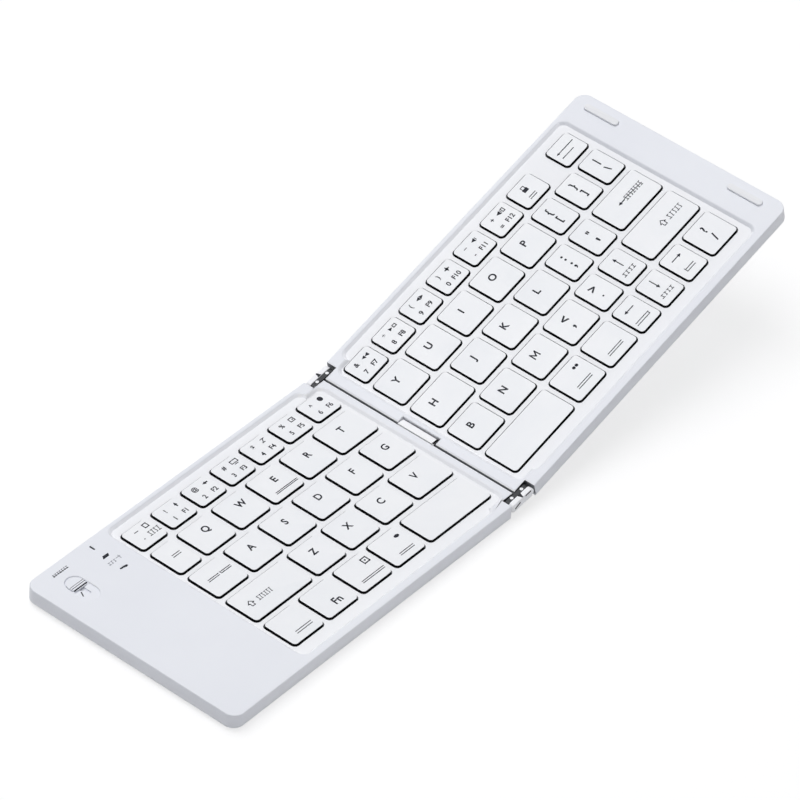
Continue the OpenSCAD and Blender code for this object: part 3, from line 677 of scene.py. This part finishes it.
# %% Read the caps' rectangles
def islands(name, body):
    """The bounding boxes (x0, x1, y0, y1, z0, z1) of a part's loose solids, sorted along x."""
    shape = drawing(name, body)
    left = set(shape.verts)
    boxes = []
    while left:
        todo, found = [left.pop()], []
        while todo:
            vert = todo.pop()
            found.append(vert.co.copy())
            for edge in vert.link_edges:
                other = edge.other_vert(vert)
                if other in left:
                    left.remove(other)
                    todo.append(other)
        boxes.append(tuple(f(p[i] for p in found) for i in range(3) for f in (min, max)))
    shape.free()
    return sorted(boxes)


key_body = {}
key_boxes = {}
for joint in frame["joints"]:
    if joint["name"].startswith("press_"):
        name = joint["child"]
        key_body[name] = joint["parent"]
        key_boxes[name] = islands(name, joint["parent"])
all_caps = [box for boxes in key_boxes.values() for box in boxes]
CAP_TOP = max(box[5] for box in all_caps)
CAP_BOTTOM = min(box[4] for box in all_caps)
print(len(all_caps), "caps between", round(CAP_BOTTOM, 3), "and", round(CAP_TOP, 3), "mm")

# %% [markdown]
# ### Loft the caps
#
# The top edge is rounded in four steps. The band below it is painted black as the shadow in the
# gap round the key, and so is everything inside, as the shade under the cap's own skirt.

# %% Caps
KEY_CORNER = 1.1
CAP_WALL = 0.7
CAP_ROOF = 0.8
TOP_ROUND = 0.12
ROUND_STEPS = 4

inner = KEY_CORNER - CAP_WALL
profile = [(CAP_WALL + 0.1, CAP_TOP - CAP_ROOF, inner),     # inset, height and radius of a ring
           (CAP_WALL, CAP_TOP - CAP_ROOF - 0.1, inner),
           (CAP_WALL, CAP_BOTTOM + 0.05, inner),
           (CAP_WALL - 0.08, CAP_BOTTOM, inner + 0.08),
           (0.08, CAP_BOTTOM, KEY_CORNER - 0.08),
           (0, CAP_BOTTOM + 0.08, KEY_CORNER),
           (0, CAP_TOP - TOP_ROUND, KEY_CORNER)]
# The skirt's rings take material 1, the black painted shade of the key's gap.
black = [1] * len(profile)
for i in range(1, ROUND_STEPS + 1):
    a = math.radians(90 * i / ROUND_STEPS)
    inset = TOP_ROUND * (1 - math.cos(a))
    profile.append((inset, CAP_TOP - TOP_ROUND * (1 - math.sin(a)), KEY_CORNER - inset))
profile.append((TOP_ROUND + 0.35, CAP_TOP, KEY_CORNER - TOP_ROUND - 0.3))
white = [0] * (len(profile) - len(black))

for name, boxes in key_boxes.items():
    shape = bmesh.new()
    for box in boxes:
        loft(shape, [ring(box[:4], *step) for step in profile], black + white)
    settle(name + "_caps" if len(boxes) > 1 else name + "_cap", shape, key_body[name], name,
           [key_top, black_painted_shade], smooth=40, replaced=[name])
print(len(key_boxes), "cap pieces")

# %% [markdown]
# ### Domes and scissor links
#
# Under each cap a rubber dome pushes back and a pair of crossed frames keeps the cap level. On
# a press the dome buckles and the frames fold flat. Each key has its own joint, so it gets the
# domes and links below its own caps as pieces of their own.


def parts_below(name, body, boxes):
    """Copies the loose solids of a part whose middles lie inside the given caps."""
    shape = drawing(name, body)

    def outside(face):
        x, y = face.calc_center_median()[:2]
        return not any(b[0] < x < b[1] and b[2] < y < b[3] for b in boxes)

    bmesh.ops.delete(shape, geom=[f for f in shape.faces if outside(f)], context="FACES")
    return shape


for name, body in key_body.items():
    side = body.split("_")[0]
    joint = joints["press_" + name]
    for kind, material, slot, angle in (("domes", dome_rubber, "dome_rubber", 50),
                                        ("scissors", scissor_white, "scissor_plastic", 30)):
        shape = parts_below(side + "_" + kind, body, key_boxes[name])
        merge_level_faces(shape)
        if kind == "scissors":
            soften(shape, lambda edge: True, 0.06, steps=1, sharper_than=60)
        piece = settle(name + "_" + kind, shape, body, body, [material], smooth=angle,
                       weighted=False, replaced=[side + "_" + kind])
        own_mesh(piece)
print("domes and links for", len(key_body), "keys")

# %% [markdown]
# ## Marks on the keys
#
# The marks are pad-printed ink, about a hundredth of a millimetre thick: each is a very thin
# solid just proud of the cap. Letters come from a text object that is turned into a mesh and
# scaled by its own measured height; arrows, bars and small signs are drawn from points. All
# marks of one key part are joined, and ride on that key.

# %% Letter shapes
INK_PROUD = 0.012
INK_SUNK = 0.01
BOLD = 0.028        # how far a stroke swells on each side, as a share of the font's size


def letter_mesh(text):
    curve = bpy.data.curves.new("letters", "FONT")
    curve.body = text
    curve.resolution_u = 4
    curve.extrude = 0.5
    curve.offset = BOLD
    writer = bpy.data.objects.new("letters", curve)
    mesh = bpy.data.meshes.new_from_object(writer)
    bpy.data.objects.remove(writer)
    bpy.data.curves.remove(curve)
    return mesh


def span(mesh, axis):
    values = [v.co[axis] for v in mesh.vertices]
    return min(values), max(values)


capital = span(letter_mesh("H"), 1)
CAPITAL_HEIGHT = capital[1] - capital[0]
print("a capital is", round(CAPITAL_HEIGHT, 3), "of the font's size")


# %% A small set of drawing tools
def corners(width, height):
    w, h = width / 2, height / 2
    return [(-w, -h), (w, -h), (w, h), (-w, h)]


class Marks:
    """Collects the marks of one part, drawn flat in millimetres at a given height."""

    def __init__(self, z):
        self.shape = bmesh.new()
        self.z = z

    def letters(self, x, y, text, height, own_height=False):
        """Text centred on x and y; height is that of a capital letter, or the text's own."""
        mesh = letter_mesh(text)
        (x0, x1), (y0, y1) = span(mesh, 0), span(mesh, 1)
        size = height / (y1 - y0 if own_height else CAPITAL_HEIGHT)
        thick = (INK_PROUD + INK_SUNK) / size
        mesh.transform(Matrix.Translation((x, y, self.z + (INK_PROUD - INK_SUNK) / 2))
                       @ Matrix.Scale(size, 4)
                       @ Matrix.Diagonal((1, 1, thick, 1))
                       @ Matrix.Translation((-(x0 + x1) / 2, -(y0 + y1) / 2, 0)))
        self.shape.from_mesh(mesh)
        bpy.data.meshes.remove(mesh)

    def outline(self, x, y, points, turn=0.0):
        """A thin solid with the given outline about x and y, turned by an angle in degrees."""
        c, s = math.cos(math.radians(turn)), math.sin(math.radians(turn))
        loft(self.shape, [[(x + c * a - s * b, y + s * a + c * b, z) for a, b in points]
                          for z in (self.z - INK_SUNK, self.z + INK_PROUD)], [0, 0])

    def bar(self, x, y, width, height=0.28, turn=0.0):
        self.outline(x, y, corners(width, height), turn)

    def double_bar(self, x, y, width, gap, height=0.27):
        self.bar(x, y + gap / 2, width, height)
        self.bar(x - 0.15, y - gap / 2, width, height)

    def path(self, x, y, points, width=0.27, closed=True):
        """A line about x and y, made of one short bar for each stretch."""
        for (x0, y0), (x1, y1) in zip(points, points[1:] + points[:1 if closed else 0]):
            self.bar(x + (x0 + x1) / 2, y + (y0 + y1) / 2,
                     math.hypot(x1 - x0, y1 - y0) + width * 0.9, width,
                     math.degrees(math.atan2(y1 - y0, x1 - x0)))

    def square(self, x, y, width, height, line=0.3):
        self.path(x, y, corners(width - line, height - line), line)

    def disc(self, x, y, width, height=None):
        w, h = width / 2, (height or width) / 2
        self.outline(x, y, [(w * math.cos(a), h * math.sin(a))
                            for a in (i * math.pi / 10 for i in range(20))])

    def triangle(self, x, y, size, turn=0.0):
        self.outline(x, y, ((-size / 2, -size / 2), (size / 2, 0), (-size / 2, size / 2)), turn)

    def arrow(self, x, y, length, turn=0.0, width=0.34, head=1.2):
        h, w = length / 2, width / 2
        self.outline(x, y, ((-h, -w), (h - head, -w), (h - head, -head / 2), (h, 0),
                            (h - head, head / 2), (h - head, w), (-h, w)), turn)

    def house(self, x, y, size):
        """The outlined broad arrow of a shift key."""
        r = size / 2
        self.path(x, y, [(a * r, b * r) for a, b in (
            (-0.5, -1), (0.5, -1), (0.5, 0), (1, 0), (0, 1), (-1, 0), (-0.5, 0))])

    def padlock(self, x, y, size):
        r = size / 2
        self.bar(x, y - 0.45 * r, 1.6 * r, 1.1 * r)
        for side in (-1, 1):
            self.bar(x + 0.5 * side * r, y + 0.45 * r, 0.26, 0.9 * r)
        self.bar(x, y + 0.9 * r, 1.2 * r, 0.26)

    def word(self, x, y, width, height, strokes, line=0.24):
        """Plain strokes between two broken lines, where a key has a longer label."""
        step = width / strokes
        for i in range(int(strokes)):
            middle_x = x - width / 2 + step * (i + 0.5)
            self.bar(middle_x, y, height * 0.8, line, 78 if i % 2 else 97)
            self.bar(middle_x + step * 0.1, y + height / 2, step * 0.75, line)
            self.bar(middle_x - step * 0.1, y - height / 2, step * (0.5 if i % 3 else 0.9), line)

    def patch(self, x, y, *values):
        """An outline whose points follow each other as x, y, x, y and so on."""
        self.outline(x, y, list(zip(values[::2], values[1::2])))

    def draw(self, x, y, text):
        """Draws from a text such as "bar 0 2 1.6, letters 1 0 Fn 2.6".

        Each step is a tool's name, its place from x and y, and its values.
        """
        for step in text.split(", "):
            tool, dx, dy, *values = step.split()
            values = [float(v) if v[-1].isdigit() else v for v in values]
            getattr(self, tool)(x + float(dx), y + float(dy), *values)

    def finished(self, name, body, rides_on, material=ink, slot="dark_plastic"):
        return settle(name, self.shape, body, rides_on, [material], smooth=20,
                      weighted=False)


# %% One piece from one text
def mark_piece(name, z, body, rides_on, text, place=(0, 0), **look):
    marks = Marks(z)
    marks.draw(*place, text)
    marks.finished(name, body, rides_on, **look)


# %% [markdown]
# ### Number row
#
# Each key of the number row has a sign and its number on the left, and on the right a small
# picture and a label for its second use. The pictures are plain shapes, written down as short
# drawing steps, so that a key is one short entry.

# %% Number row
PICTURES = {
    "back": "triangle -0.7 0 1.3 180, triangle 0.6 0 1.3 180, bar 1.3 0 0.26 1.2",
    "on": "triangle -0.8 0 1.3, square 0.8 0 1.4 1.2",
    "ends": "triangle -0.75 0 1.4 180, triangle 0.75 0 1.4",
    "left": "arrow 0 0 2 180 0.5 1.2",
    "up": "arrow 0 0 1.9 90 0.5 1.2",
    "screen": "square 0 0.15 2.8 1.5, bar 0 -1 1.5",
    "slant": "bar 0.2 0.7 1.7, bar 0 0 1.9 0.3 52, bar -0.3 -0.7 1.2",
    "box": "square 0 0 2 1.7, bar 0.3 0 0.5 0.5",
    "disc": "disc 0 0 1.9",
    "spark": "bar 0 0 1.9 0.36, bar 0 0 1.7 0.36 90, disc 0 0 1",
    "quiet": "triangle -0.3 0 1.5 180, bar 0.8 0 0.26 1.1",
    "loud": "triangle -1 0 1.6 180, bar 0.1 0 0.24 1.3, square 1 0 1.1 1.6",
}
SIGN_Y, NUMBER_Y, LABEL_Y = 1.95, -1.9, -1.7
SIGN_SIZE, NUMBER_SIZE, LABEL_SIZE = 1.6, 1.7, 1.65
NUMBER_ROWS = {     # x of the marks on the left and right, first F number, the keys' marks
    "number_keys_left": (-1.5, 2.8, 1,
                         "! 1 up, @ 2 left, # 3 screen, $ 4 slant, % 5 box, ^ 6 disc"),
    "number_keys_right": (-1.95, 1.9, 7,
                          "& 7 back, * 8 on, ( 9 ends, ) 0 spark, _ - quiet, + = loud"),
}


def key_middles(name):
    return [((box[0] + box[1]) / 2, (box[2] + box[3]) / 2) for box in key_boxes[name]]


for name, (left, right, first, keys) in NUMBER_ROWS.items():
    marks = Marks(CAP_TOP)
    for i, ((x, y), key) in enumerate(zip(key_middles(name), keys.split(", "))):
        sign, number, picture = key.split()
        marks.letters(x + left, y + SIGN_Y, sign, SIGN_SIZE)
        marks.letters(x + left, y + NUMBER_Y, number, NUMBER_SIZE)
        marks.draw(x + right, y + SIGN_Y, PICTURES[picture])
        marks.letters(x + right, y + LABEL_Y, "F" + str(first + i), LABEL_SIZE)
    marks.finished(name + "_marks", key_body[name], name)
print("number rows marked")

# %% [markdown]
# ### Letter rows
#
# A letter sits a little behind the middle of its key, and beside it by a distance of its own.
# The keys of the signs carry two marks, one above the other. A sign has no fixed height in a
# font, so each has its own.

# %% Letters and signs
LETTER_UP, LETTER_HEIGHT = 1.35, 2.45
LETTER_M, LINE_OF_M = [(-1.1, -1.05), (-1, 1.05), (0, -0.55), (1, 1.05), (1.1, -1.05)], 0.42
LABEL_OF_E = "double_bar 1.6 -3.2 9.2 0.55"
UPPER_SIGN_Y, LOWER_SIGN_Y = 2.1, -2
ROWS = {    # each key's letter or signs, and their x from the middle of the key
    "q_row_keys_left": "Q 1.27 W 1.54 E 1.2 R 1.12 T -0.5",
    "a_row_keys_left": "A 0.49 S 0.4 D 0.29 F 0.62 G 0.5",
    "z_row_keys_left": "Z 0.14 X 0.29 C 0.12 V -1.25",
    "y_row_keys_right": "Y -0.65 U -0.6 I -0.3 O -0.36 P -0.25",
    "h_row_keys_right": "H -2.45 J -0.42 K -0.95 L -0.57 :; 0.05 \"' 0.13",
    "b_row_keys_right": "B -0.74 N -0.64 M -0.56 <, -0.65 >. -0.36",
    "bracket_keys": "{[ -0.3 }] 0.2 |\\ 0.4",
    "slash_key": "?/ -0.14",
}


def in_twos(text):
    words = text.split()
    return [(word, float(value)) for word, value in zip(words[::2], words[1::2])]


SIGN_HEIGHT = dict(in_twos("{ 3.5 [ 3.2 } 3.5 ] 3.2 | 3.3 \\ 2.5 : 2.3 ; 2.9 \" 1.1 ' 1.6 "
                           "< 2.4 , 1.5 > 2.3 . 0.6 ? 2.8 / 3"))
for name, legends in ROWS.items():
    marks = Marks(CAP_TOP)
    for (x, y), (legend, dx) in zip(key_middles(name), in_twos(legends)):
        if len(legend) == 2:
            for sign, dy in zip(legend, (UPPER_SIGN_Y, LOWER_SIGN_Y)):
                marks.letters(x + dx, y + dy, sign, SIGN_HEIGHT[sign], own_height=True)
        elif legend == "M":     # the font's own M would fill up when its strokes swell
            marks.path(x + dx, y + LETTER_UP, LETTER_M, LINE_OF_M, False)
        else:
            marks.letters(x + dx, y + LETTER_UP, legend, LETTER_HEIGHT)
        if legend == "E":
            marks.draw(x, y, LABEL_OF_E)
    marks.finished(name + "_marks", key_body[name], name)
print("letter rows marked")

# %% [markdown]
# ### Keys with a job
#
# Escape, tab, shift and the others carry plain strokes and arrows instead of words. The two
# space bars are bare.

# %% Plain strokes and arrows
JOBS = {    # an upright line parts the marks of two keys
    "esc_key":
        "bar -1 2.1 1.6 0.28, square 2.9 2.2 1.8 1.9 0.34, word 3.1 -1 4.6 1.7 4 0.26, "
        "bar -1.4 -1.5 0.45 0.35",
    "tab_key": "double_bar 0.85 0.5 3.3 0.8",
    "caps_lock_key":
        "double_bar -1.25 0.5 4.5 0.65, double_bar 3.9 0.5 4.1 0.65, bar 1.6 0.6 0.24 1",
    "left_shift_key": "house -7.55 0.1 2.2, word -2 0 6 1.5 6",
    "ctrl_key": "double_bar 1.15 -2.75 6.5 0.85",
    "fn_key": "letters 1.15 -2.2 Fn 2.6",
    "command_key":
        "square 4.2 2.6 2.5 2.4 0.42, bar 4.2 2.6 0.6 0.6, double_bar 1.45 -2.9 9.5 0.7",
    "left_alt_key": "disc 3.4 2.65 2 1.2, double_bar 1.2 -3.1 6 0.75",
    "lock_key": "padlock -0.3 1.3 2.4, double_bar -0.35 -2.2 3 0.8",
    "backspace_key": "arrow 0.1 0.9 7.4 180 0.3 0.9, bar -0.9 -1.2 5.2 0.28",
    "enter_key":
        "arrow -1.8 0.55 2.8 180 0.4 1.2, word 3.6 0.55 7.8 1.6 7, bar 3.5 0.55 7.8 0.26 -3",
    "right_shift_key": "house 1 -0.2 2.2, word 6.2 -0.3 6.2 1.6 5",
    "up_key": "arrow 0.3 1.8 4.2 90, word -0.1 -2.6 5.4 1.2 4 0.24",
    "left_arrow_key": "arrow -0.3 2.5 4.1 180, double_bar -0.3 -2.7 5.8 0.9, bar 2.3 -2.6 0.24 1",
    "down_key": "arrow 0.1 2 4.2 270, word 0 -2.7 5.4 1.1 4 0.24",
    "right_arrow_key": "arrow 0 2.6 4.1, double_bar 0 -2.7 3.8 0.9, bar -1.9 -2.4 0.24 1.4",
    "right_alt_and_menu_keys":
        "disc 2.2 3 1.1, disc 3.4 3 1.1, double_bar 0.4 -2.5 6.2 0.8 | "
        "double_bar -0.1 -2.6 6.4 0.8",
}
for name, keys in JOBS.items():
    marks = Marks(CAP_TOP)
    for place, key in zip(key_middles(name), keys.split(" | ")):
        marks.draw(*place, key)
    marks.finished(name + "_marks", key_body[name], name)
print(len(JOBS), "key parts with a job marked")

# %% [markdown]
# ## Small parts of the hinge, the switch and the feet
#
# These are softened copies as well. The straps are stamped steel with a slightly broken edge,
# the covers are moulded, and rubber never has a crisp edge at all.


# %% Softened small parts
PAD_TOP, SOLE = 0.6, -6.0


def softened(name, body, material, width, steps=2, wanted=lambda edge: True):
    shape = flat_copy(name, body)
    count = soften(shape, wanted, width, steps, sharper_than=40)
    print(name, count, "edges softened")
    return settle(name + "_skin", shape, body, body, [material], smooth=35,
                  replaced=[name])


softened("hinge_straps", "link", dark_steel, 0.12)
softened("link_covers", "link", cover_white_and_painted_wall_light, 0.22, 3)
guard = softened("cable_guard", "left_half", cover_white_and_painted_wall_light, 0.12)
# Painted shade: the guard's front end face is dark, as the shadow in the gap at its end.
guard.data.materials.append(painted_hinge_shade)
for face in guard.data.polygons:
    if face.normal.y < -0.9:
        face.material_index = 1
softened("closing_pads", "right_half", pad_rubber, 0.22, 3,
         lambda edge: at_height(edge, PAD_TOP))
for side in ("left", "right"):
    softened(side + "_feet", side + "_half", foot_rubber, 0.25, 3,
             lambda edge: at_height(edge, SOLE))

# %% [markdown]
# ### Painted pin highlights and painted shade at the links
#
# A bright steel dot on the strap's upper edge over each hinge pin is a painted highlight. A
# short dark notch in each cover is painted shade where the two halves meet, and a black bar at
# the front of the cable guard is painted shade of the gap there. Black bars on the covers' end
# faces are painted shade of the slits beside them. The tools of the key marks draw them all.

# %% Dots and notches on the links
STRAP_TOP, COVER_TOP, GUARD_TOP = -0.25, -0.15, -0.05
STRAP_Y, COVER_Y = 36.07, 37.6
PIN_X = pin_offset / MM

# Painted highlight: bright steel dots on the straps, one over each pin.
mark_piece("hinge_pin_painted_highlights", STRAP_TOP, "link", "link", ", ".join(
    f"disc {x} {y} 1.05" for y in (-STRAP_Y, STRAP_Y) for x in (-PIN_X, PIN_X)),
    material=bright_steel, slot="bright_steel")
# Painted shade: a dark wedge on each cover where the gap between the halves runs into it.
mark_piece("link_cover_painted_notch_shade", COVER_TOP, "link", "link",
           f"patch 0 {-COVER_Y} 0.7 0.7 -0.7 0.7 -0.2 -0.75 0.2 -0.75, "
           f"patch 0 {COVER_Y} -0.7 -0.7 0.7 -0.7 0.2 0.75 -0.2 0.75", material=painted_hinge_shade)
# Painted shade: a black bar for the shadow in the gap at the guard's front end.
mark_piece("cable_guard_painted_gap_shade", GUARD_TOP, "left_half", "left_half", "bar 1 -5.35 2.45 0.8",
           material=black_painted_shade)

# Painted shade: black bars on each cover's end face stand for the shadow in the slits beside it.
cover_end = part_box("link_covers")[1].y / MM
for end, outward in (("front", -1), ("back", 1)):
    slit_shade = Marks(cover_end)
    slit_shade.draw(0, 0, "bar 2.4 -0.65 2.4 0.55, bar -2.3 -1.75 2.5 0.6 20")
    upright = Matrix(((1, 0, 0, 0), (0, 0, outward, 0), (0, 1, 0, 0), (0, 0, 0, 1)))
    bmesh.ops.transform(slit_shade.shape, verts=slit_shade.shape.verts, matrix=upright)
    slit_shade.finished("link_cover_painted_slit_shade_" + end, "link", "link", black_painted_shade)
print("pin dots and notches ready")

# %% [markdown]
# ### Switch
#
# The knob slides in a shallow pocket and its stem passes through a slot, which a thin shutter
# hides: it travels with the knob just under the roof. The knob has grip lines across it, and
# the pocket's floor has one small stroke.

# %% Knob with its shutter, and the lines on it
KNOB_MIDDLE = -114.9, 29.0
KNOB_TOP, POCKET_FLOOR = -0.05, -0.5
SHUTTER = (-116.4, -113.4, 23.3, 34.4, -1.085, -1.02)     # x, y and z of its faces

shape = flat_copy("switch_knob", "left_half")
soften(shape, lambda edge: at_height(edge, KNOB_TOP), 0.1, sharper_than=40)
low, high = Vector(SHUTTER[0::2]), Vector(SHUTTER[1::2])
bmesh.ops.create_cube(shape, size=1, matrix=Matrix.Translation((low + high) / 2)
                      @ Matrix.Diagonal((*(high - low), 1)))
settle("switch_knob_skin", shape, "left_half", "switch_knob", [white_shell],
       smooth=35, replaced=["switch_knob"])

mark_piece("switch_knob_lines", KNOB_TOP, "left_half", "switch_knob",
           "bar 0 -2.1 5.2 0.5, bar 0.1 -1.2 5.4 0.2, bar 0 -0.5 5.4 0.16", KNOB_MIDDLE)
mark_piece("switch_pocket_mark", POCKET_FLOOR, "left_half", "left_half",
           "bar -1.6 -4.2 1.9 0.34 62", KNOB_MIDDLE)
print("switch ready")

# %% [markdown]
# ### Flat cable
#
# A thin flat cable joins the two contact membranes. It bends at both hinge pins, so it is made
# as two ribbons that meet in the middle of the link, and each bends between the link and one
# half. A strip for bending needs many cross lines, so a ribbon is lofted from many thin rings.

# %% Cable ribbons
cable_low, cable_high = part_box("flat_cable")
CABLE_Z = -3.675
CABLE_THICK = 0.2
CABLE_STEPS = 28
CABLE_WAY = (("left_half", -4.7), ("left_half", -1.5), ("right_half", 1.5), ("right_half", 5.6))


def ribbon_point(share):
    """Middle line of the cable in the standing keyboard, from the left to the right half."""
    a, b, c, d = (PLACE[body] @ Vector((x, 0, CABLE_Z)) for body, x in CABLE_WAY)
    middle = (b + c) / 2
    t = 2 * share if share < 0.5 else 2 * share - 1
    start, way, stop = (a, b, middle) if share < 0.5 else (middle, c, d)
    return start * (1 - t) ** 2 + way * 2 * t * (1 - t) + stop * t * t


def ribbon(name, first, last):
    rings = []
    for i in range(CABLE_STEPS + 1):
        share = first + (last - first) * i / CABLE_STEPS
        ahead = ribbon_point(min(share + 0.001, 1)) - ribbon_point(max(share - 0.001, 0))
        up = Vector((-ahead.z, 0, ahead.x)).normalized() * CABLE_THICK * MM / 2
        rings.append([ribbon_point(share) + up * s + Vector((0, y, 0)) for s, y in (
            (-1, cable_low.y), (-1, cable_high.y), (1, cable_high.y), (1, cable_low.y))])
    shape = bmesh.new()
    loft(shape, rings, [0] * len(rings))
    bmesh.ops.transform(shape, matrix=PLACE["left_half"].inverted(), verts=shape.verts)
    return settle(name, shape, "left_half", None, [cable_film], weighted=False,
                  replaced=["flat_cable"])


left_ribbon = ribbon("flat_cable_left", 0, 0.5)
right_ribbon = ribbon("flat_cable_right", 0.5, 1)
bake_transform(left_ribbon)
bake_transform(right_ribbon)
print("cable ribbons ready")

# %% [markdown]
# ## Marks on the blank end
#
# Beside the switch and the lights the shell has a few tiny printed marks. They are generic: a
# label of plain strokes, a tick over the first light, and small slanted shapes at the others.

# %% Marks on the left end
mark_piece("end_marks", 0, "left_half", "left_half",
           "word -114.3 35 6.2 0.8 7 0.16, bar -114.3 34.8 6 0.2 -2, bar -100.9 35.1 0.55 1.9, "
           "patch -100.8 30.2 -1.5 -0.5 0.9 -0.55 1.5 0.45 -0.7 0.6, "
           "patch -100.6 23.5 -1.4 0.15 -1.2 0.6 1.3 0.35 1.5 -0.2 0.7 -0.45 -0.2 0 -0.9 -0.05")
mark_piece("end_marks_faint", 0, "left_half", "left_half",
           "word -101.4 27.2 3.2 0.9 3 0.22, bar -98.6 27.6 1.9 0.22, bar -98.2 27.4 0.24 1.5",
           material=faint_ink)
print("end marks ready")

# %% [markdown]
# ## Floor and light
#
# The keyboard lies on a pale floor, and the lamps stay at the level where a colour looks as it
# was written. The white background comes from the Light Path node: rays that go straight from
# the camera, or by way of gloss, see white, while the light on the keyboard is softer.

# %% Floor
FLOOR_HALF = 3.0
FLOOR_GRID = 12
FLOOR_DROP = 0.00005    # keeps the floor just clear of the soles of the feet
GLOW = 0.71             # lifts the floor to white where the camera sees it


def choose(tree, unseen, seen, out):
    """Sends one shader to the rays that only carry light, and another to those that see."""
    path = add(tree, "LightPath")
    camera_or_gloss = add(tree, "Math", operation="MAXIMUM")
    seeing = add(tree, "Math", operation="MAXIMUM")
    choice = add(tree, "MixShader")
    wire(tree,
         (path, "Is Camera Ray", camera_or_gloss, 0), (path, "Is Glossy Ray", camera_or_gloss, 1),
         (camera_or_gloss, "Value", seeing, 0), (path, "Is Transmission Ray", seeing, 1),
         (seeing, "Value", choice, "Fac"), (*unseen, choice, 1), (*seen, choice, 2),
         (choice, "Shader", add(tree, out), "Surface"))


floor_shape = bmesh.new()
bmesh.ops.create_grid(floor_shape, x_segments=FLOOR_GRID, y_segments=FLOOR_GRID, size=FLOOR_HALF,
                      matrix=Matrix.Translation((0, 0, -FLOOR_DROP)))
floor_mesh = bpy.data.meshes.new("studio_floor")
floor_shape.to_mesh(floor_mesh)
floor_shape.free()
floor = set_out("studio_floor", floor_mesh)

floor_material = bpy.data.materials.new("pale studio floor")
floor_material.use_nodes = True
tree = floor_material.node_tree
tree.nodes.clear()
paper = add(tree, "BsdfDiffuse", {"Color": (0.86, 0.86, 0.87, 1)})
thin_paper = add(tree, "BsdfDiffuse", {"Color": (0.34, 0.34, 0.345, 1)})
glow = add(tree, "Emission", {"Strength": GLOW})
lifted = add(tree, "AddShader")
wire(tree, (thin_paper, "BSDF", lifted, 0), (glow, "Emission", lifted, 1))
choose(tree, (paper, "BSDF"), (lifted, "Shader"), "OutputMaterial")
floor_mesh.materials.append(floor_material)
print("floor ready")

# %% World
ZENITH = 0.45       # strength of the sky's light overhead; it fades to none level with the floor

world = bpy.data.worlds.new("studio")
bpy.context.scene.world = world
world.use_nodes = True
tree = world.node_tree
tree.nodes.clear()
direction = add(tree, "TexCoord")
height = add(tree, "SeparateXYZ")
rise = add(tree, "MapRange", {"To Max": ZENITH})
dim = add(tree, "Background", {"Color": (0.97, 0.98, 1, 1)})
white = add(tree, "Background", {"Color": (1, 1, 1, 1)})
wire(tree,
     (direction, "Generated", height, "Vector"), (height, "Z", rise, "Value"),
     (rise, "Result", dim, "Strength"))
choose(tree, (dim, "Background"), (white, "Background"), "OutputWorld")
print("world ready")


# %% Lamps
def lamp(name, place, size, power):
    """A square lamp that looks at the middle of the keyboard, with its power in watts."""
    data = bpy.data.lights.new(name, "AREA")
    data.shape = "SQUARE"
    data.size = size
    data.energy = power
    set_out(name, data).matrix_world = looking(place, (0, 0, 0))


lamp("top light", (-0.2, 0.45, 1.6), 1.3, 18.1)
lamp("front light", (0, -1.6, 0.75), 1.2, 3)
lamp("far side light", (1.2, 0.9, 0.9), 1, 2.5)
bpy.context.scene.view_settings.view_transform = "Standard"
print("lamps ready")
